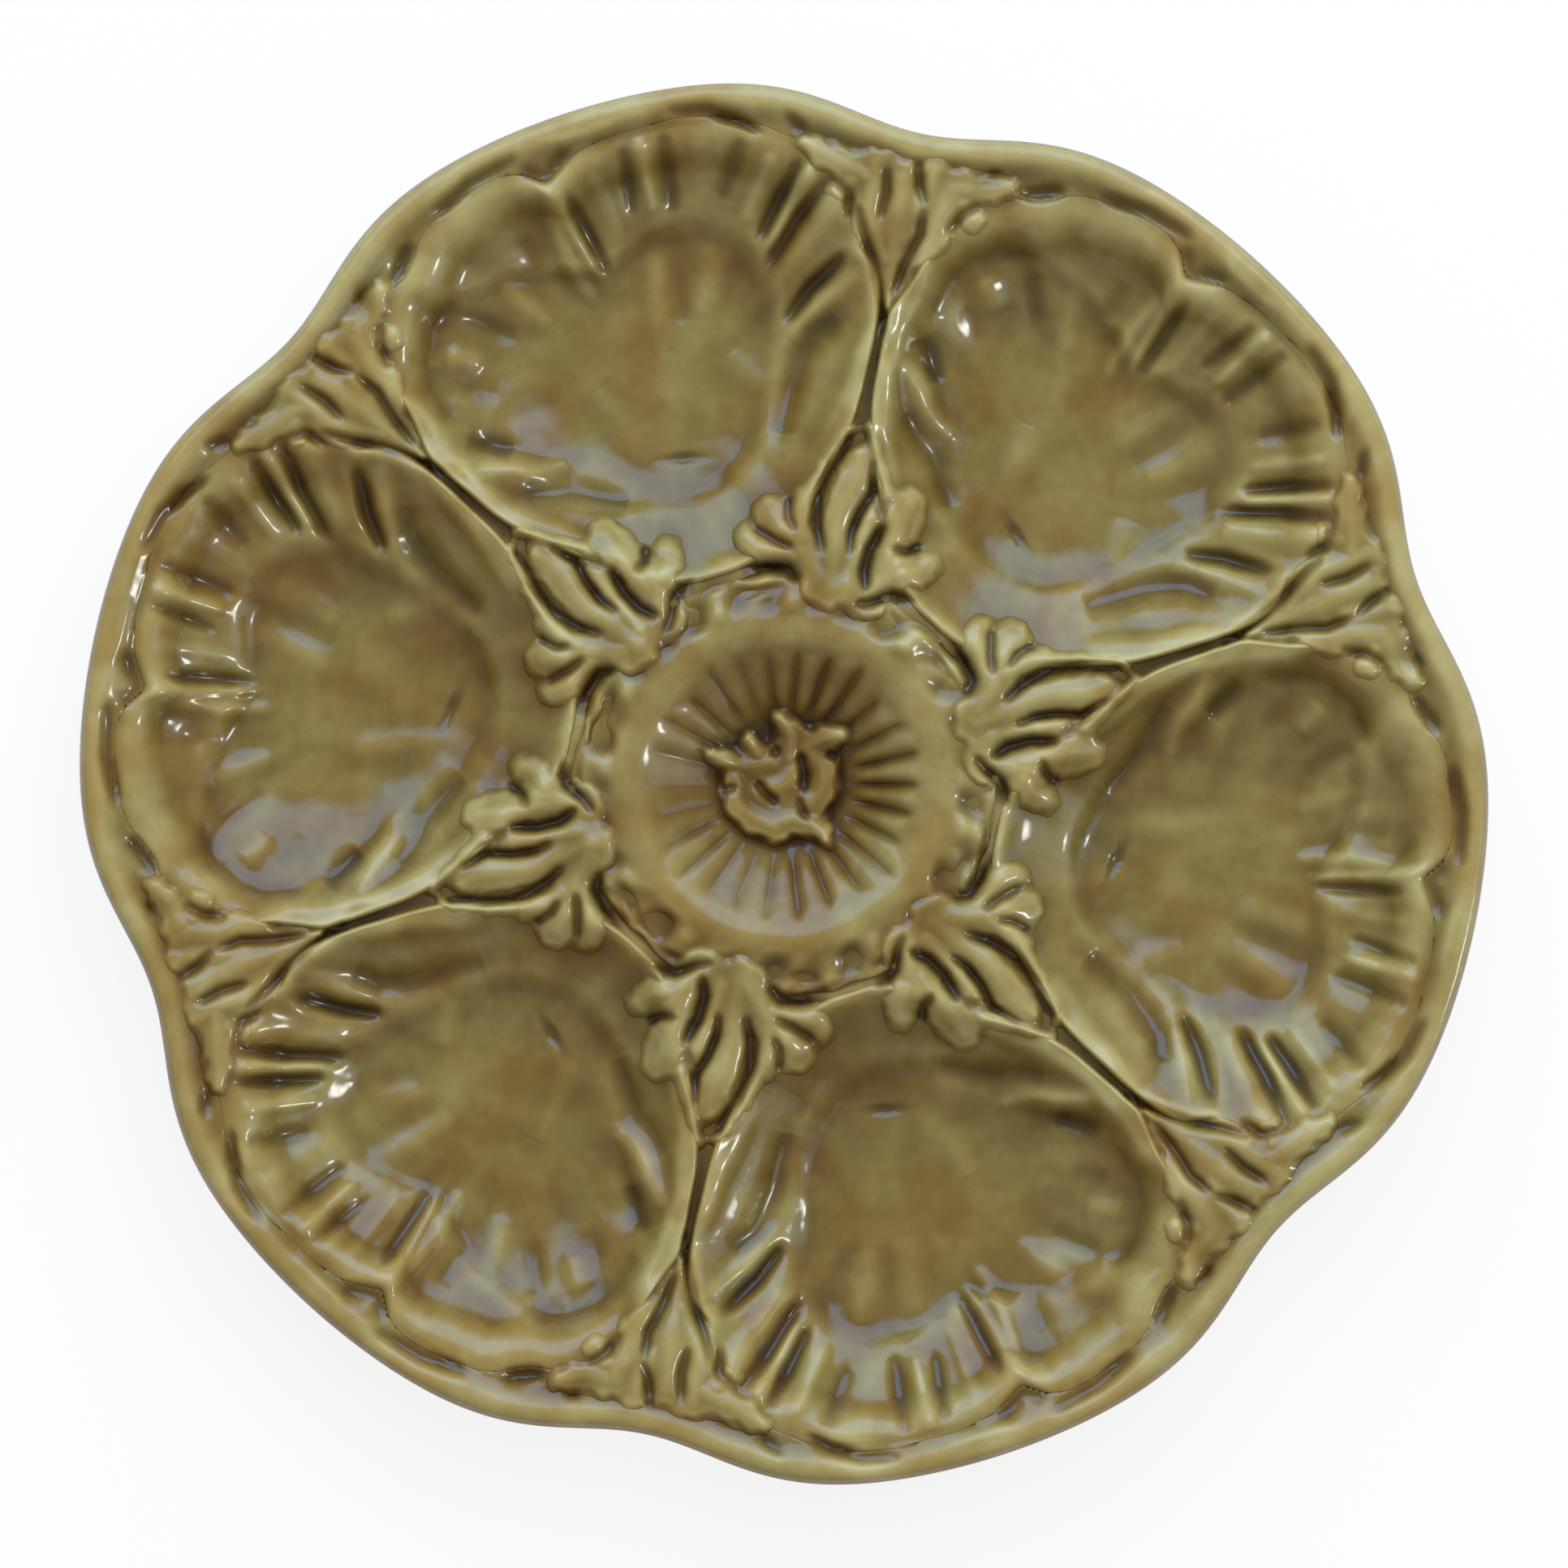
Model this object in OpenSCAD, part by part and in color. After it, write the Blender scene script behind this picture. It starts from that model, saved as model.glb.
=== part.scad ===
// Oyster plate: six shell wells round a sauce well, with coral between them.
// The plate lies face up on its foot ring. The origin is the middle of the foot's underside.
// The first shell lies at well_angle, and the others follow in equal steps.

/* [Plate] */
// Reach of the rim at the middle of a lobe
lobe_reach = 125; // [118:1:140]
// Depth of the notch between two lobes
notch_depth = 7.2; // [2:0.2:9]
// Height of the rim's crest over the table
rim_height = 26.5; // [25:0.5:32]
// Width of the smooth border along the rim
border_w = 5.8; // [4.5:0.1:7]
// Height of the flat ledge that the reliefs lie on
ledge_height = 19.5; // [18:0.5:21]
// Thickness of the dish under the wells
floor_t = 4.5; // [3.5:0.1:6]
// Thickness of the rim at its edge
rim_t = 4.2; // [3:0.1:5]

/* [Foot ring] */
// Middle radius of the foot ring
foot_r = 64; // [50:1:70]
// Width of the foot ring
foot_w = 6; // [4:0.5:9]
// Height of the foot ring
foot_h = 3.5; // [2:0.5:4.5]
// Width of the flat bottom outside the foot ring
foot_land_w = 11; // [6:0.5:14]
// Rounding of the foot ring's lower edges
foot_round = 1; // [0.2:0.1:1.5]

/* [Oyster shells] */
// Space between a shell's side and the middle of the divider
divider_gap = 2; // [1.6:0.1:3.5]
// Width of the groove between the shells and the rim's border
rim_groove_w = 2.2; // [1.8:0.1:3]
// Width of the groove between the shells and the wreath
wreath_groove_w = 2.4; // [1.5:0.1:4]
// Thickness of the shell relief in the middle of its well
shell_t = 1.8; // [1.4:0.1:2.5]
// Height of the shell's lip over the ledge, next to the rim
lip_outer_h = 5; // [4:0.1:6]
// Height of the shell's lip over the ledge, next to the wreath
lip_inner_h = 2.4; // [1.5:0.1:4]
// Height of the flutes above and below the shell's wall
flute_h = 1.2; // [0:0.1:1.4]
// Drop of the shell's inner bowl below the fluted wall round it
bowl_drop = 1.5; // [0:0.1:1.6]

/* [Sauce well] */
// Radius of the round recess for the sauce
sauce_r = 27; // [24:0.5:29]
// Thickness of the recess's lining
sauce_t = 2; // [1.5:0.1:3]
// Height of the lining's small flutes
sauce_flute_h = 1.1; // [0:0.1:1.3]

/* [Coral wreath] */
// Width of the wreath round the sauce well
wreath_w = 8.2; // [6:0.1:9]
// Height of the wreath over the ledge
wreath_h = 4.4; // [2.5:0.1:5.5]
// Extra reach of the wreath towards each divider
wreath_swell = 1.8; // [0:0.1:2.2]

/* [Coral sprays] */
// Height of a coral frond over the ledge
frond_h = 3.8; // [2:0.1:5]

/* [Centre sprig] */
// Reach of the sprig from the middle of the sauce well
sprig_r = 13.4; // [9:0.1:13.8]
// Height of the sprig over the sauce well's floor
sprig_h = 4.2; // [2:0.1:5]

/* [Hidden] */

// Glaze colours: clear green over the relief, darker where it pools
glaze_light = [0.62, 0.60, 0.33];
glaze_mid = [0.52, 0.48, 0.24];
glaze_dark = [0.38, 0.33, 0.16];

// The plate repeats six times
sectors = 6;
sector_angle = 360 / sectors;
half_sector = sector_angle / 2;
// Direction of the first shell's middle, and turn from a shell's own frame to it
well_angle = 48;
y_axis_angle = 90;
// Angle over which a notch fades into its two lobes
notch_spread = 10;

// Clear space between two reliefs that lie side by side
relief_gap = 0.5;

// Steps along one sector's outline: on the rim, on each divider and on the sauce well
rim_steps = 18;
divider_steps = 9;
sauce_steps = 4;
cell_steps = rim_steps + 2 * divider_steps + sauce_steps;
rim_count = rim_steps * sectors;
sauce_count = sauce_steps * sectors;

// Heights that follow from the driving sizes
well_floor_z = foot_h + floor_t;
wreath_in_r = sauce_r + relief_gap;
wreath_out_r = wreath_in_r + wreath_w;

// A shell lies between the wreath and the rim, with its middle a little nearer the rim
shell_in_r = wreath_out_r + wreath_groove_w;
shell_out_r = lobe_reach - border_w - rim_groove_w;
shell_middle_share = 0.531;
shell_centre_r = shell_in_r + (shell_out_r - shell_in_r) * shell_middle_share;
// Half width of a shell and its reach towards the rim and the wreath
shell_half_w = shell_centre_r * tan(half_sector) - divider_gap;
shell_up = shell_out_r - shell_centre_r;
shell_down = shell_centre_r - shell_in_r;

// Outline of a shell: direction in degrees and reach as a share of the shell's own
// half width and lengths. The right side is a fan of flutes, the left a smooth lobe.
shell_outline_shares = [
    [-90, 0.975], [-83.5, 0.977], [-75.9, 0.962], [-68.7, 0.934], [-61.9, 0.928], [-57.5, 0.912],
    [-51.4, 0.896], [-45.3, 0.89], [-37.7, 0.887], [-30.2, 0.887], [-21.4, 0.897], [-12.8, 0.926],
    [-7.6, 0.955], [-1.7, 0.977], [4.9, 0.989], [11.2, 0.988], [17.3, 1.029], [23.7, 1.064],
    [30.4, 1.079], [34.6, 1.091], [40.1, 1.104], [45.7, 1.101], [52, 1.107], [56.7, 1.106],
    [66, 1.084], [75.3, 1.04], [85, 1.026], [90.8, 1.001], [95.3, 0.968], [100.2, 0.936],
    [103.3, 1.007], [108.4, 1.061], [119.3, 1.093], [128.5, 1.102], [135, 1.078], [140.2, 1.074],
    [145.5, 1.098], [152.6, 1.075], [160.2, 1.052], [167.6, 1.018], [174.3, 0.972], [180.8, 0.956],
    [187.7, 0.952], [192.8, 0.926], [201.4, 0.897], [210.3, 0.886], [217.8, 0.878], [225.5, 0.878],
    [231.9, 0.875], [238.7, 0.872], [245.2, 0.881], [252.1, 0.929], [257.8, 0.952], [263.4, 0.972]];

// Edge of a shell's inner bowl, where the flutes end, in the same measure as its outline
shell_bowl_shares = [
    [-90, 0.668], [-69.2, 0.638], [-48.2, 0.577], [-21, 0.533], [4.1, 0.567], [22.8, 0.628],
    [42.7, 0.677], [64.3, 0.651], [78.5, 0.565], [98, 0.486], [111.7, 0.582], [126.2, 0.727],
    [143, 0.862], [154.5, 0.917], [169.4, 0.88], [188.6, 0.801], [202.9, 0.675], [225.1, 0.641],
    [249.6, 0.649]];

// Relief of a shell's wall: direction in degrees and height as a share of flute_h
shell_flute_shares = [
    [-60, 0], [-42, 0.3], [-27, -0.8], [-12, -1], [-1, 0.7], [6, -1.3], [20, 0.9], [31, -1.3],
    [43, 0.8], [52, -0.9], [60, 0.5], [68, -1], [74, 0.8], [80, -0.8], [88, 0.5], [96, -1.3],
    [104, 0.8], [112, -0.3], [128, 0.4], [142, 0.3], [151, -0.9], [160, -0.6], [170, -0.9],
    [186, 0.4], [193, -1.1], [207, 0.8], [225, -1.1], [243, 0.3], [262, 0], [282, 0]];

// Rings of a plain well, as shares of the well's own reach
well_edge_share = 0.93;
well_ring_shares = [0.4, 0.75, 1];
// Rings of a shell's face: share of the way to the bowl's edge, share of the way from there
// to the lip, then drop as a share of bowl_drop, and flutes as a share of their height
face_ring_shares = [
    [0.5, 0, 0.4, 0], [0.9, 0, 1, 0.1], [1, 0.1, 0, 0.8], [1, 0.5, 0, 1], [1, 1, 0, 0.6]];
// Place of the lip's crest, as a share of the shell's reach
crest_share = 0.955;
// Steepness of the plain wells and of the shells' faces
well_power = 3;
shell_power = 2.3;

// Section of the rim from the ledge over the crest to the back: distance from the edge as
// a share of border_w, and height below the crest as a share of rim_t
rim_section_shares = [[0.86, 0.3], [0.5, 0], [0.1, 0.28], [0, 0.6], [0.16, 1]];
// Back of the dish: share of the way from the flat bottom's edge to the rim, and height
// as a share of the rise from the flat bottom to the rim's underside
back_shares = [[0.74, 0.48], [0.44, 0.12], [0, 0]];

// Rings of the recess and of its lining, as shares of sauce_r
recess_ring_shares = [0.58, 0.85];
recess_depth_shares = [1, 0.62];
lining_ring_shares = [0.52, 0.66, 0.82, 0.94];
lining_rise_shares = [0, 0.2, 0.62, 1.02];
lining_band_shares = [0, 0.5, 1, 0.8];

// Section of the wreath: place across its width and height, as shares
wreath_section_shares = [[0, 0], [0.07, 0.62], [0.34, 1], [0.66, 0.95], [0.95, 0.55], [1, 0]];
wreath_twigs = 12;
wreath_steps = 60;
wreath_wave_share = 0.22;

// Fronds of an inner spray: root, bend and tip, each as a share of the room beside the
// divider and of the spray's length, then the width at root and tip as shares of the room,
// and the height as a share of frond_h
spray_shares = [
    [[-0.24, 0.08], [-0.76, 0.085], [-1.26, 0.11], 0.58, 0.6, 0.95],
    [[-0.17, 0.1], [-0.56, 0.19], [-0.7, 0.29], 0.5, 0.46, 0.85],
    [[0, 0.06], [-0.07, 0.26], [0.05, 0.49], 0.62, 0.82, 1],
    [[0.24, 0.1], [0.52, 0.21], [0.64, 0.33], 0.42, 0.32, 0.85],
    [[0.3, 0.06], [1.0, 0.09], [1.18, 0.23], 0.6, 0.64, 0.95],
    [[0.4, 0.05], [1.0, 0.04], [1.6, 0.06], 0.5, 0.46, 0.8]];

// Fronds of a clump under the rim's notch, as shares of its room and of its length
rim_coral_shares = [
    [[0, 0.03], [0.02, 0.25], [-0.03, 0.6], 0.3, 0.5, 1],
    [[-0.03, 0.2], [-0.34, 0.33], [-0.58, 0.56], 0.34, 0.4, 0.9],
    [[0.05, 0.24], [0.3, 0.36], [0.56, 0.6], 0.34, 0.4, 0.9],
    [[-0.05, 0.62], [-0.3, 0.76], [-0.36, 0.88], 0.4, 0.38, 1],
    [[0.02, 0.62], [0.22, 0.76], [0.4, 0.88], 0.38, 0.38, 1],
    [[-0.62, 0.6], [-0.95, 0.8], [-1.3, 0.92], 0.32, 0.28, 0.8],
    [[0.58, 0.62], [0.95, 0.82], [1.3, 0.93], 0.32, 0.28, 0.8]];

// Steps along a frond, steps over its dome, and the rounding of its tip
frond_steps = 3;
dome_steps = 4;
tip_reach_share = 0.8;
tip_w_share = 0.5;
tip_h_share = 0.6;

// Leaves of the sprig, which spread from its middle, as shares of the sprig's reach
sprig_shares = [
    [[0, 0], [-0.48, 0.04], [-0.82, 0.32], 0.34, 0.28],
    [[-0.05, -0.05], [-0.45, -0.2], [-0.66, -0.44], 0.34, 0.3],
    [[0, -0.1], [-0.12, -0.4], [-0.2, -0.66], 0.32, 0.3],
    [[0.05, -0.1], [0.3, -0.3], [0.4, -0.62], 0.32, 0.3],
    [[0.1, 0], [0.4, -0.12], [0.66, 0], 0.32, 0.28],
    [[0.1, 0.1], [0.4, 0.26], [0.62, 0.54], 0.34, 0.32],
    [[0, 0.1], [0.14, 0.45], [0.04, 0.78], 0.32, 0.28],
    [[-0.05, 0.1], [-0.16, 0.34], [-0.38, 0.52], 0.32, 0.28]];

// Sides of the round foot, and of the rounding of its edges
foot_sides = 128;
foot_round_sides = 16;

// Angle brought into one turn from a start
function turned(angle, start) = start + (angle - start) - 360 * floor((angle - start) / 360);

// Row of a closed table of angles and values, counted on past its ends
function row_at(table, i) =
    let (n = len(table), turn = floor(i / n))
    [table[i - turn * n][0] + 360 * turn, table[i - turn * n][1]];

// Value of a closed table at an angle, on a smooth curve through its rows
function smooth_at(table, angle) =
    let (
        a = turned(angle, table[0][0]),
        i = len([for (row = table) if (row[0] <= a) 1]) - 1,
        p = row_at(table, i - 1),
        q = row_at(table, i),
        r = row_at(table, i + 1),
        s = row_at(table, i + 2),
        u = (a - q[0]) / (r[0] - q[0])
    )
    (2 * q[1] + (r[1] - p[1]) * u + (2 * p[1] - 5 * q[1] + 4 * r[1] - s[1]) * pow(u, 2)
        + (3 * q[1] - p[1] - 3 * r[1] + s[1]) * pow(u, 3)) / 2;

// Point in the plane at a reach and a direction
function polar(reach, angle) = [reach * cos(angle), reach * sin(angle)];

// Point turned about the plate's centre
function spun(p, angle) = [p[0] * cos(angle) - p[1] * sin(angle), p[0] * sin(angle) + p[1] * cos(angle)];

// Direction of a shell's middle
function shell_angle(k) = well_angle + sector_angle * k;

// Angle to the nearest notch, for a direction counted from a shell's middle
function notch_angle(from_middle) = abs(half_sector - turned(from_middle, 0) % sector_angle);

// Reach of the rim in a direction counted from a shell's middle
function rim_reach(from_middle) =
    lobe_reach - notch_depth * exp(-pow(notch_angle(from_middle) / notch_spread, 2));

// Faces between two rings of points that are listed by number, seen from above
function strip(inner, outer) =
    [for (i = [0 : len(inner) - 1])
        let (j = (i + 1) % len(inner))
        each [[inner[i], inner[j], outer[j]], [inner[i], outer[j], outer[i]]]];

// Faces from a ring to one with half as many points
function strip_halved(fine, coarse) =
    [for (i = [0 : len(coarse) - 1])
        let (j = (i + 1) % len(coarse), a = 2 * i, b = 2 * i + 1, c = (2 * i + 2) % len(fine))
        each [
            [fine[a], fine[b], coarse[i]],
            [fine[b], coarse[j], coarse[i]],
            [fine[b], fine[c], coarse[j]]]];

// Faces from a middle point to a ring
function fan(middle, ring) =
    [for (i = [0 : len(ring) - 1]) [middle, ring[(i + 1) % len(ring)], ring[i]]];

// The same faces seen from the other side
function flipped(faces) = [for (face = faces) [for (i = [len(face) - 1 : -1 : 0]) face[i]]];

// Numbers of a ring's points
function ring(first, count) = [for (i = [0 : count - 1]) first + i];

// Outline of one sector in the shell's own frame, whose y axis runs through the shell's
// middle. It goes round anticlockwise: the rim, the left divider, the sauce well and the
// right divider. Both dividers have their points at the same places.
shell_middle = [0, shell_centre_r];
function rim_point(j) =
    let (a = sector_angle * j / rim_steps - half_sector)
    polar(rim_reach(a) - border_w, y_axis_angle + a);
function sauce_point(j) = polar(sauce_r, y_axis_angle + sector_angle * j / sauce_steps - half_sector);
rim_corner_angle = atan2(rim_point(rim_steps)[1] - shell_centre_r, rim_point(rim_steps)[0]);
sauce_corner_angle =
    turned(atan2(sauce_point(sauce_steps)[1] - shell_centre_r, sauce_point(sauce_steps)[0]), 0);
function divider_reach(m) =
    let (a = rim_corner_angle + (sauce_corner_angle - rim_corner_angle) * m / divider_steps)
    shell_centre_r * cos(a) / cos(a - half_sector);
function left_divider_point(m) = polar(divider_reach(m), y_axis_angle + half_sector);
function right_divider_point(m) = polar(divider_reach(m), y_axis_angle - half_sector);
cell_points = [
    for (j = [0 : rim_steps]) rim_point(j),
    for (m = [1 : divider_steps - 1]) left_divider_point(m),
    for (j = [sauce_steps : -1 : 0]) sauce_point(j),
    for (m = [divider_steps - 1 : -1 : 1]) right_divider_point(m)];

// Direction of a point from the shell's middle, in the shell's own stretched measure
function stretched_angle(p) =
    let (rise = p[1] - shell_centre_r)
    atan2(rise / (rise > 0 ? shell_up : shell_down), p[0] / shell_half_w);
cell_angles = [for (p = cell_points) turned(stretched_angle(p), stretched_angle(cell_points[0]))];
function cell_angle(i) = i < cell_steps ? cell_angles[i] : cell_angles[0] + 360;
fine_steps = 2 * cell_steps;
function fine_angle(i) = (cell_angle(floor(i / 2)) + cell_angle(ceil(i / 2))) / 2;

// Point of a shell at a stretched direction and a share of its reach
function shell_point(angle, share) =
    let (reach = share * smooth_at(shell_outline_shares, angle))
    shell_middle + [reach * cos(angle) * shell_half_w,
                    reach * sin(angle) * (sin(angle) > 0 ? shell_up : shell_down)];

// Height of a plain well's surface at a share of the well's own reach
function well_z(share) = well_floor_z + (ledge_height - well_floor_z) * pow(share, well_power);

// A ring of a plain well, with one point for each point of the sector's outline
function well_ring(share, turn) =
    [for (i = [0 : cell_steps - 1])
        let (p = spun(shell_point(cell_angle(i), share * well_edge_share), turn))
        [p[0], p[1], well_z(share)]];

// Numbers of the dish's points: first the rim's inner edge, then the dividers, the edge of
// the recess, and the wells, each of which is a middle and its rings
divider_first = rim_count;
sauce_first = divider_first + sectors * (divider_steps - 1);
wells_first = sauce_first + sauce_count;
well_count = 1 + cell_steps * len(well_ring_shares);
recess_first = wells_first + sectors * well_count;
section_first = recess_first + 1 + sauce_count * len(recess_ring_shares);
back_first = section_first + rim_count * len(rim_section_shares);
back_count = rim_count / 2;
function divider_number(k, m) = divider_first + (k + sectors) % sectors * (divider_steps - 1) + m - 1;
function cell_numbers(k) = [
    for (j = [0 : rim_steps]) (k * rim_steps + j) % rim_count,
    for (m = [1 : divider_steps - 1]) divider_number(k, m),
    for (j = [sauce_steps : -1 : 0]) sauce_first + (k * sauce_steps + j) % sauce_count,
    for (m = [divider_steps - 1 : -1 : 1]) divider_number(k - 1, m)];

// Direction of a shell, as a turn of its own frame
function shell_turn(k) = shell_angle(k) - y_axis_angle;

// Direction of one of the rim's points, counted from the first shell's middle
function rim_angle(i) = sector_angle * i / rim_steps - half_sector;

// A ring of the rim's section, and one of the dish's back
function rim_ring(inset, z) =
    [for (i = [0 : rim_count - 1])
        let (p = polar(rim_reach(rim_angle(i)) - inset, well_angle + rim_angle(i)))
        [p[0], p[1], z]];
foot_land_r = foot_r + foot_w / 2 + foot_land_w;
function back_ring(share, z) =
    [for (i = [0 : 2 : rim_count - 1])
        let (
            reach = foot_land_r + (rim_reach(rim_angle(i)) - foot_land_r) * share,
            p = polar(reach, well_angle + rim_angle(i))
        )
        [p[0], p[1], z]];

// A round ring with straight sides between the sauce well's points
function round_ring(reach, z) =
    [for (i = [0 : sauce_count - 1])
        let (p = polar(reach, well_angle - half_sector + 360 * i / sauce_count))
        [p[0], p[1], z]];
function recess_z(i) = ledge_height - (ledge_height - well_floor_z) * recess_depth_shares[i];
back_rise = rim_height - rim_t - foot_h;

dish_points = [
    each rim_ring(border_w, ledge_height),
    for (k = [0 : sectors - 1])
        for (m = [1 : divider_steps - 1])
            let (p = spun(left_divider_point(m), shell_turn(k)))
            [p[0], p[1], ledge_height],
    each round_ring(sauce_r, ledge_height),
    for (k = [0 : sectors - 1])
        let (middle = polar(shell_centre_r, shell_angle(k)))
        each [
            [middle[0], middle[1], well_floor_z],
            for (share = well_ring_shares) each well_ring(share, shell_turn(k))],
    [0, 0, well_floor_z],
    for (i = [0 : len(recess_ring_shares) - 1])
        each round_ring(sauce_r * recess_ring_shares[i], recess_z(i)),
    for (row = rim_section_shares)
        each rim_ring(border_w * row[0], rim_height - rim_t * row[1]),
    for (row = back_shares)
        each back_ring(row[0], foot_h + back_rise * row[1])];

// Faces of one well and of the flat ledge round it
function well_faces(k) =
    let (
        first = wells_first + k * well_count,
        rings = [for (i = [0 : len(well_ring_shares) - 1]) ring(first + 1 + i * cell_steps, cell_steps)]
    )
    [
        each fan(first, rings[0]),
        for (i = [0 : len(rings) - 2]) each strip(rings[i], rings[i + 1]),
        each strip(rings[len(rings) - 1], cell_numbers(k))];

// Rings from the rim's inner edge over the crest, and from there along the back
section_rings = [
    ring(0, rim_count),
    for (i = [0 : len(rim_section_shares) - 1]) ring(section_first + i * rim_count, rim_count)];
back_rings = [for (i = [0 : len(back_shares) - 1]) ring(back_first + i * back_count, back_count)];
recess_rings = [
    for (i = [0 : len(recess_ring_shares) - 1]) ring(recess_first + 1 + i * sauce_count, sauce_count),
    ring(sauce_first, sauce_count)];

// The dish: six plain wells, a round recess, a flat ledge, a lobed rim and a smooth back
module plate_base() {
    color(glaze_mid)
    polyhedron(
        points = dish_points,
        faces = [
            for (k = [0 : sectors - 1]) each well_faces(k),
            each fan(recess_first, recess_rings[0]),
            for (i = [0 : len(recess_rings) - 2]) each strip(recess_rings[i], recess_rings[i + 1]),
            for (i = [0 : len(section_rings) - 2]) each strip(section_rings[i], section_rings[i + 1]),
            each strip_halved(section_rings[len(section_rings) - 1], back_rings[0]),
            for (i = [0 : len(back_rings) - 2]) each strip(back_rings[i], back_rings[i + 1]),
            back_rings[len(back_rings) - 1]]);
}

// The turned foot, with rounded lower edges
module foot_ring() {
    inner = foot_r - foot_w / 2;
    outer = foot_r + foot_w / 2;
    color(glaze_dark)
    rotate_extrude($fn = foot_sides)
    union() {
        translate([inner, foot_round]) square([foot_w, foot_h - foot_round]);
        translate([inner + foot_round, 0]) square([foot_w - 2 * foot_round, foot_h]);
        for (r = [inner + foot_round, outer - foot_round])
            translate([r, foot_round]) circle(r = foot_round, $fn = foot_round_sides);
    }
}

// Height of a shell's lip over the ledge, from the wreath's side to the rim's side
function lip_h(angle) = lip_inner_h + (lip_outer_h - lip_inner_h) * (1 + sin(angle)) / 2;

// Share of a shell's reach at which its inner bowl ends, and at which a ring of its face lies
function bowl_share(angle) = smooth_at(shell_bowl_shares, angle) / smooth_at(shell_outline_shares, angle);
function face_share(i, angle) =
    let (row = face_ring_shares[i], inner = bowl_share(angle) * row[0])
    inner + (crest_share - inner) * row[1];

// A ring of a shell's face: a bowl that steps up to a fluted wall, which ends in the lip
function face_ring(i) =
    [for (j = [0 : fine_steps - 1])
        let (
            a = fine_angle(j),
            share = face_share(i, a),
            p = shell_point(a, share),
            floor_z = well_floor_z + shell_t,
            rise = (ledge_height + lip_h(a) - floor_z) * pow(share / crest_share, shell_power),
            flute = flute_h * face_ring_shares[i][3] * smooth_at(shell_flute_shares, a)
        )
        [p[0], p[1], floor_z + rise - bowl_drop * face_ring_shares[i][2] + flute]];
shell_edge_ring = [for (j = [0 : fine_steps - 1])
    let (p = shell_point(fine_angle(j), 1))
    [p[0], p[1], ledge_height]];
well_ring_count = len(well_ring_shares);
shell_ring_count = len(face_ring_shares);
shell_points = [
    [0, shell_centre_r, well_floor_z + shell_t],
    for (i = [0 : shell_ring_count - 1]) each face_ring(i),
    each shell_edge_ring,
    for (i = [well_ring_count - 1 : -1 : 0]) each well_ring(well_ring_shares[i], 0),
    [0, shell_centre_r, well_floor_z]];
shell_top_rings = [for (i = [0 : shell_ring_count]) ring(1 + i * fine_steps, fine_steps)];
shell_under_first = 1 + (shell_ring_count + 1) * fine_steps;
shell_under_rings = [for (i = [0 : well_ring_count - 1])
    ring(shell_under_first + i * cell_steps, cell_steps)];
shell_faces = [
    each fan(0, shell_top_rings[0]),
    for (i = [0 : shell_ring_count - 1]) each strip(shell_top_rings[i], shell_top_rings[i + 1]),
    each strip_halved(shell_top_rings[shell_ring_count], shell_under_rings[0]),
    for (i = [0 : well_ring_count - 2])
        each flipped(strip(shell_under_rings[i + 1], shell_under_rings[i])),
    each flipped(fan(len(shell_points) - 1, shell_under_rings[well_ring_count - 1]))];

// The relief of one oyster shell. Its underside lies on its plain well face to face.
module oyster_shell(k) {
    color(glaze_light)
    rotate(shell_turn(k))
    polyhedron(points = shell_points, faces = shell_faces);
}

// The lining of the recess: a flat floor and a wall of small flutes, two steps to a flute
lining_steps = 2 * sauce_count;
function lining_ring(i) =
    let (floor_z = well_floor_z + sauce_t)
    [for (j = [0 : lining_steps - 1])
        let (
            p = polar(sauce_r * lining_ring_shares[i], well_angle - half_sector + 360 * j / lining_steps),
            side = j % 2 == 0 ? 1 : -1,
            flute = side * sauce_flute_h / 2 * lining_band_shares[i]
        )
        [p[0], p[1], floor_z + (ledge_height - floor_z) * lining_rise_shares[i] + flute]];
lining_ring_count = len(lining_ring_shares);
recess_ring_count = len(recess_ring_shares);
lining_points = [
    [0, 0, well_floor_z + sauce_t],
    for (i = [0 : lining_ring_count - 1]) each lining_ring(i),
    each round_ring(sauce_r, ledge_height),
    for (i = [recess_ring_count - 1 : -1 : 0])
        each round_ring(sauce_r * recess_ring_shares[i], recess_z(i)),
    [0, 0, well_floor_z]];
lining_top_rings = [for (i = [0 : lining_ring_count - 1]) ring(1 + i * lining_steps, lining_steps)];
lining_under_rings = [for (i = [0 : recess_ring_count])
    ring(1 + lining_ring_count * lining_steps + i * sauce_count, sauce_count)];
module sauce_well() {
    color(glaze_dark)
    polyhedron(
        points = lining_points,
        faces = [
            each fan(0, lining_top_rings[0]),
            for (i = [0 : lining_ring_count - 2]) each strip(lining_top_rings[i], lining_top_rings[i + 1]),
            each strip_halved(lining_top_rings[lining_ring_count - 1], lining_under_rings[0]),
            for (i = [0 : recess_ring_count - 1])
                each flipped(strip(lining_under_rings[i + 1], lining_under_rings[i])),
            each flipped(fan(len(lining_points) - 1, lining_under_rings[recess_ring_count]))]);
}

// Reach of the wreath's outer edge, wider towards each divider
function wreath_reach(angle) =
    wreath_out_r + wreath_swell * (1 - cos(sectors * (angle - well_angle))) / 2;

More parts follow.
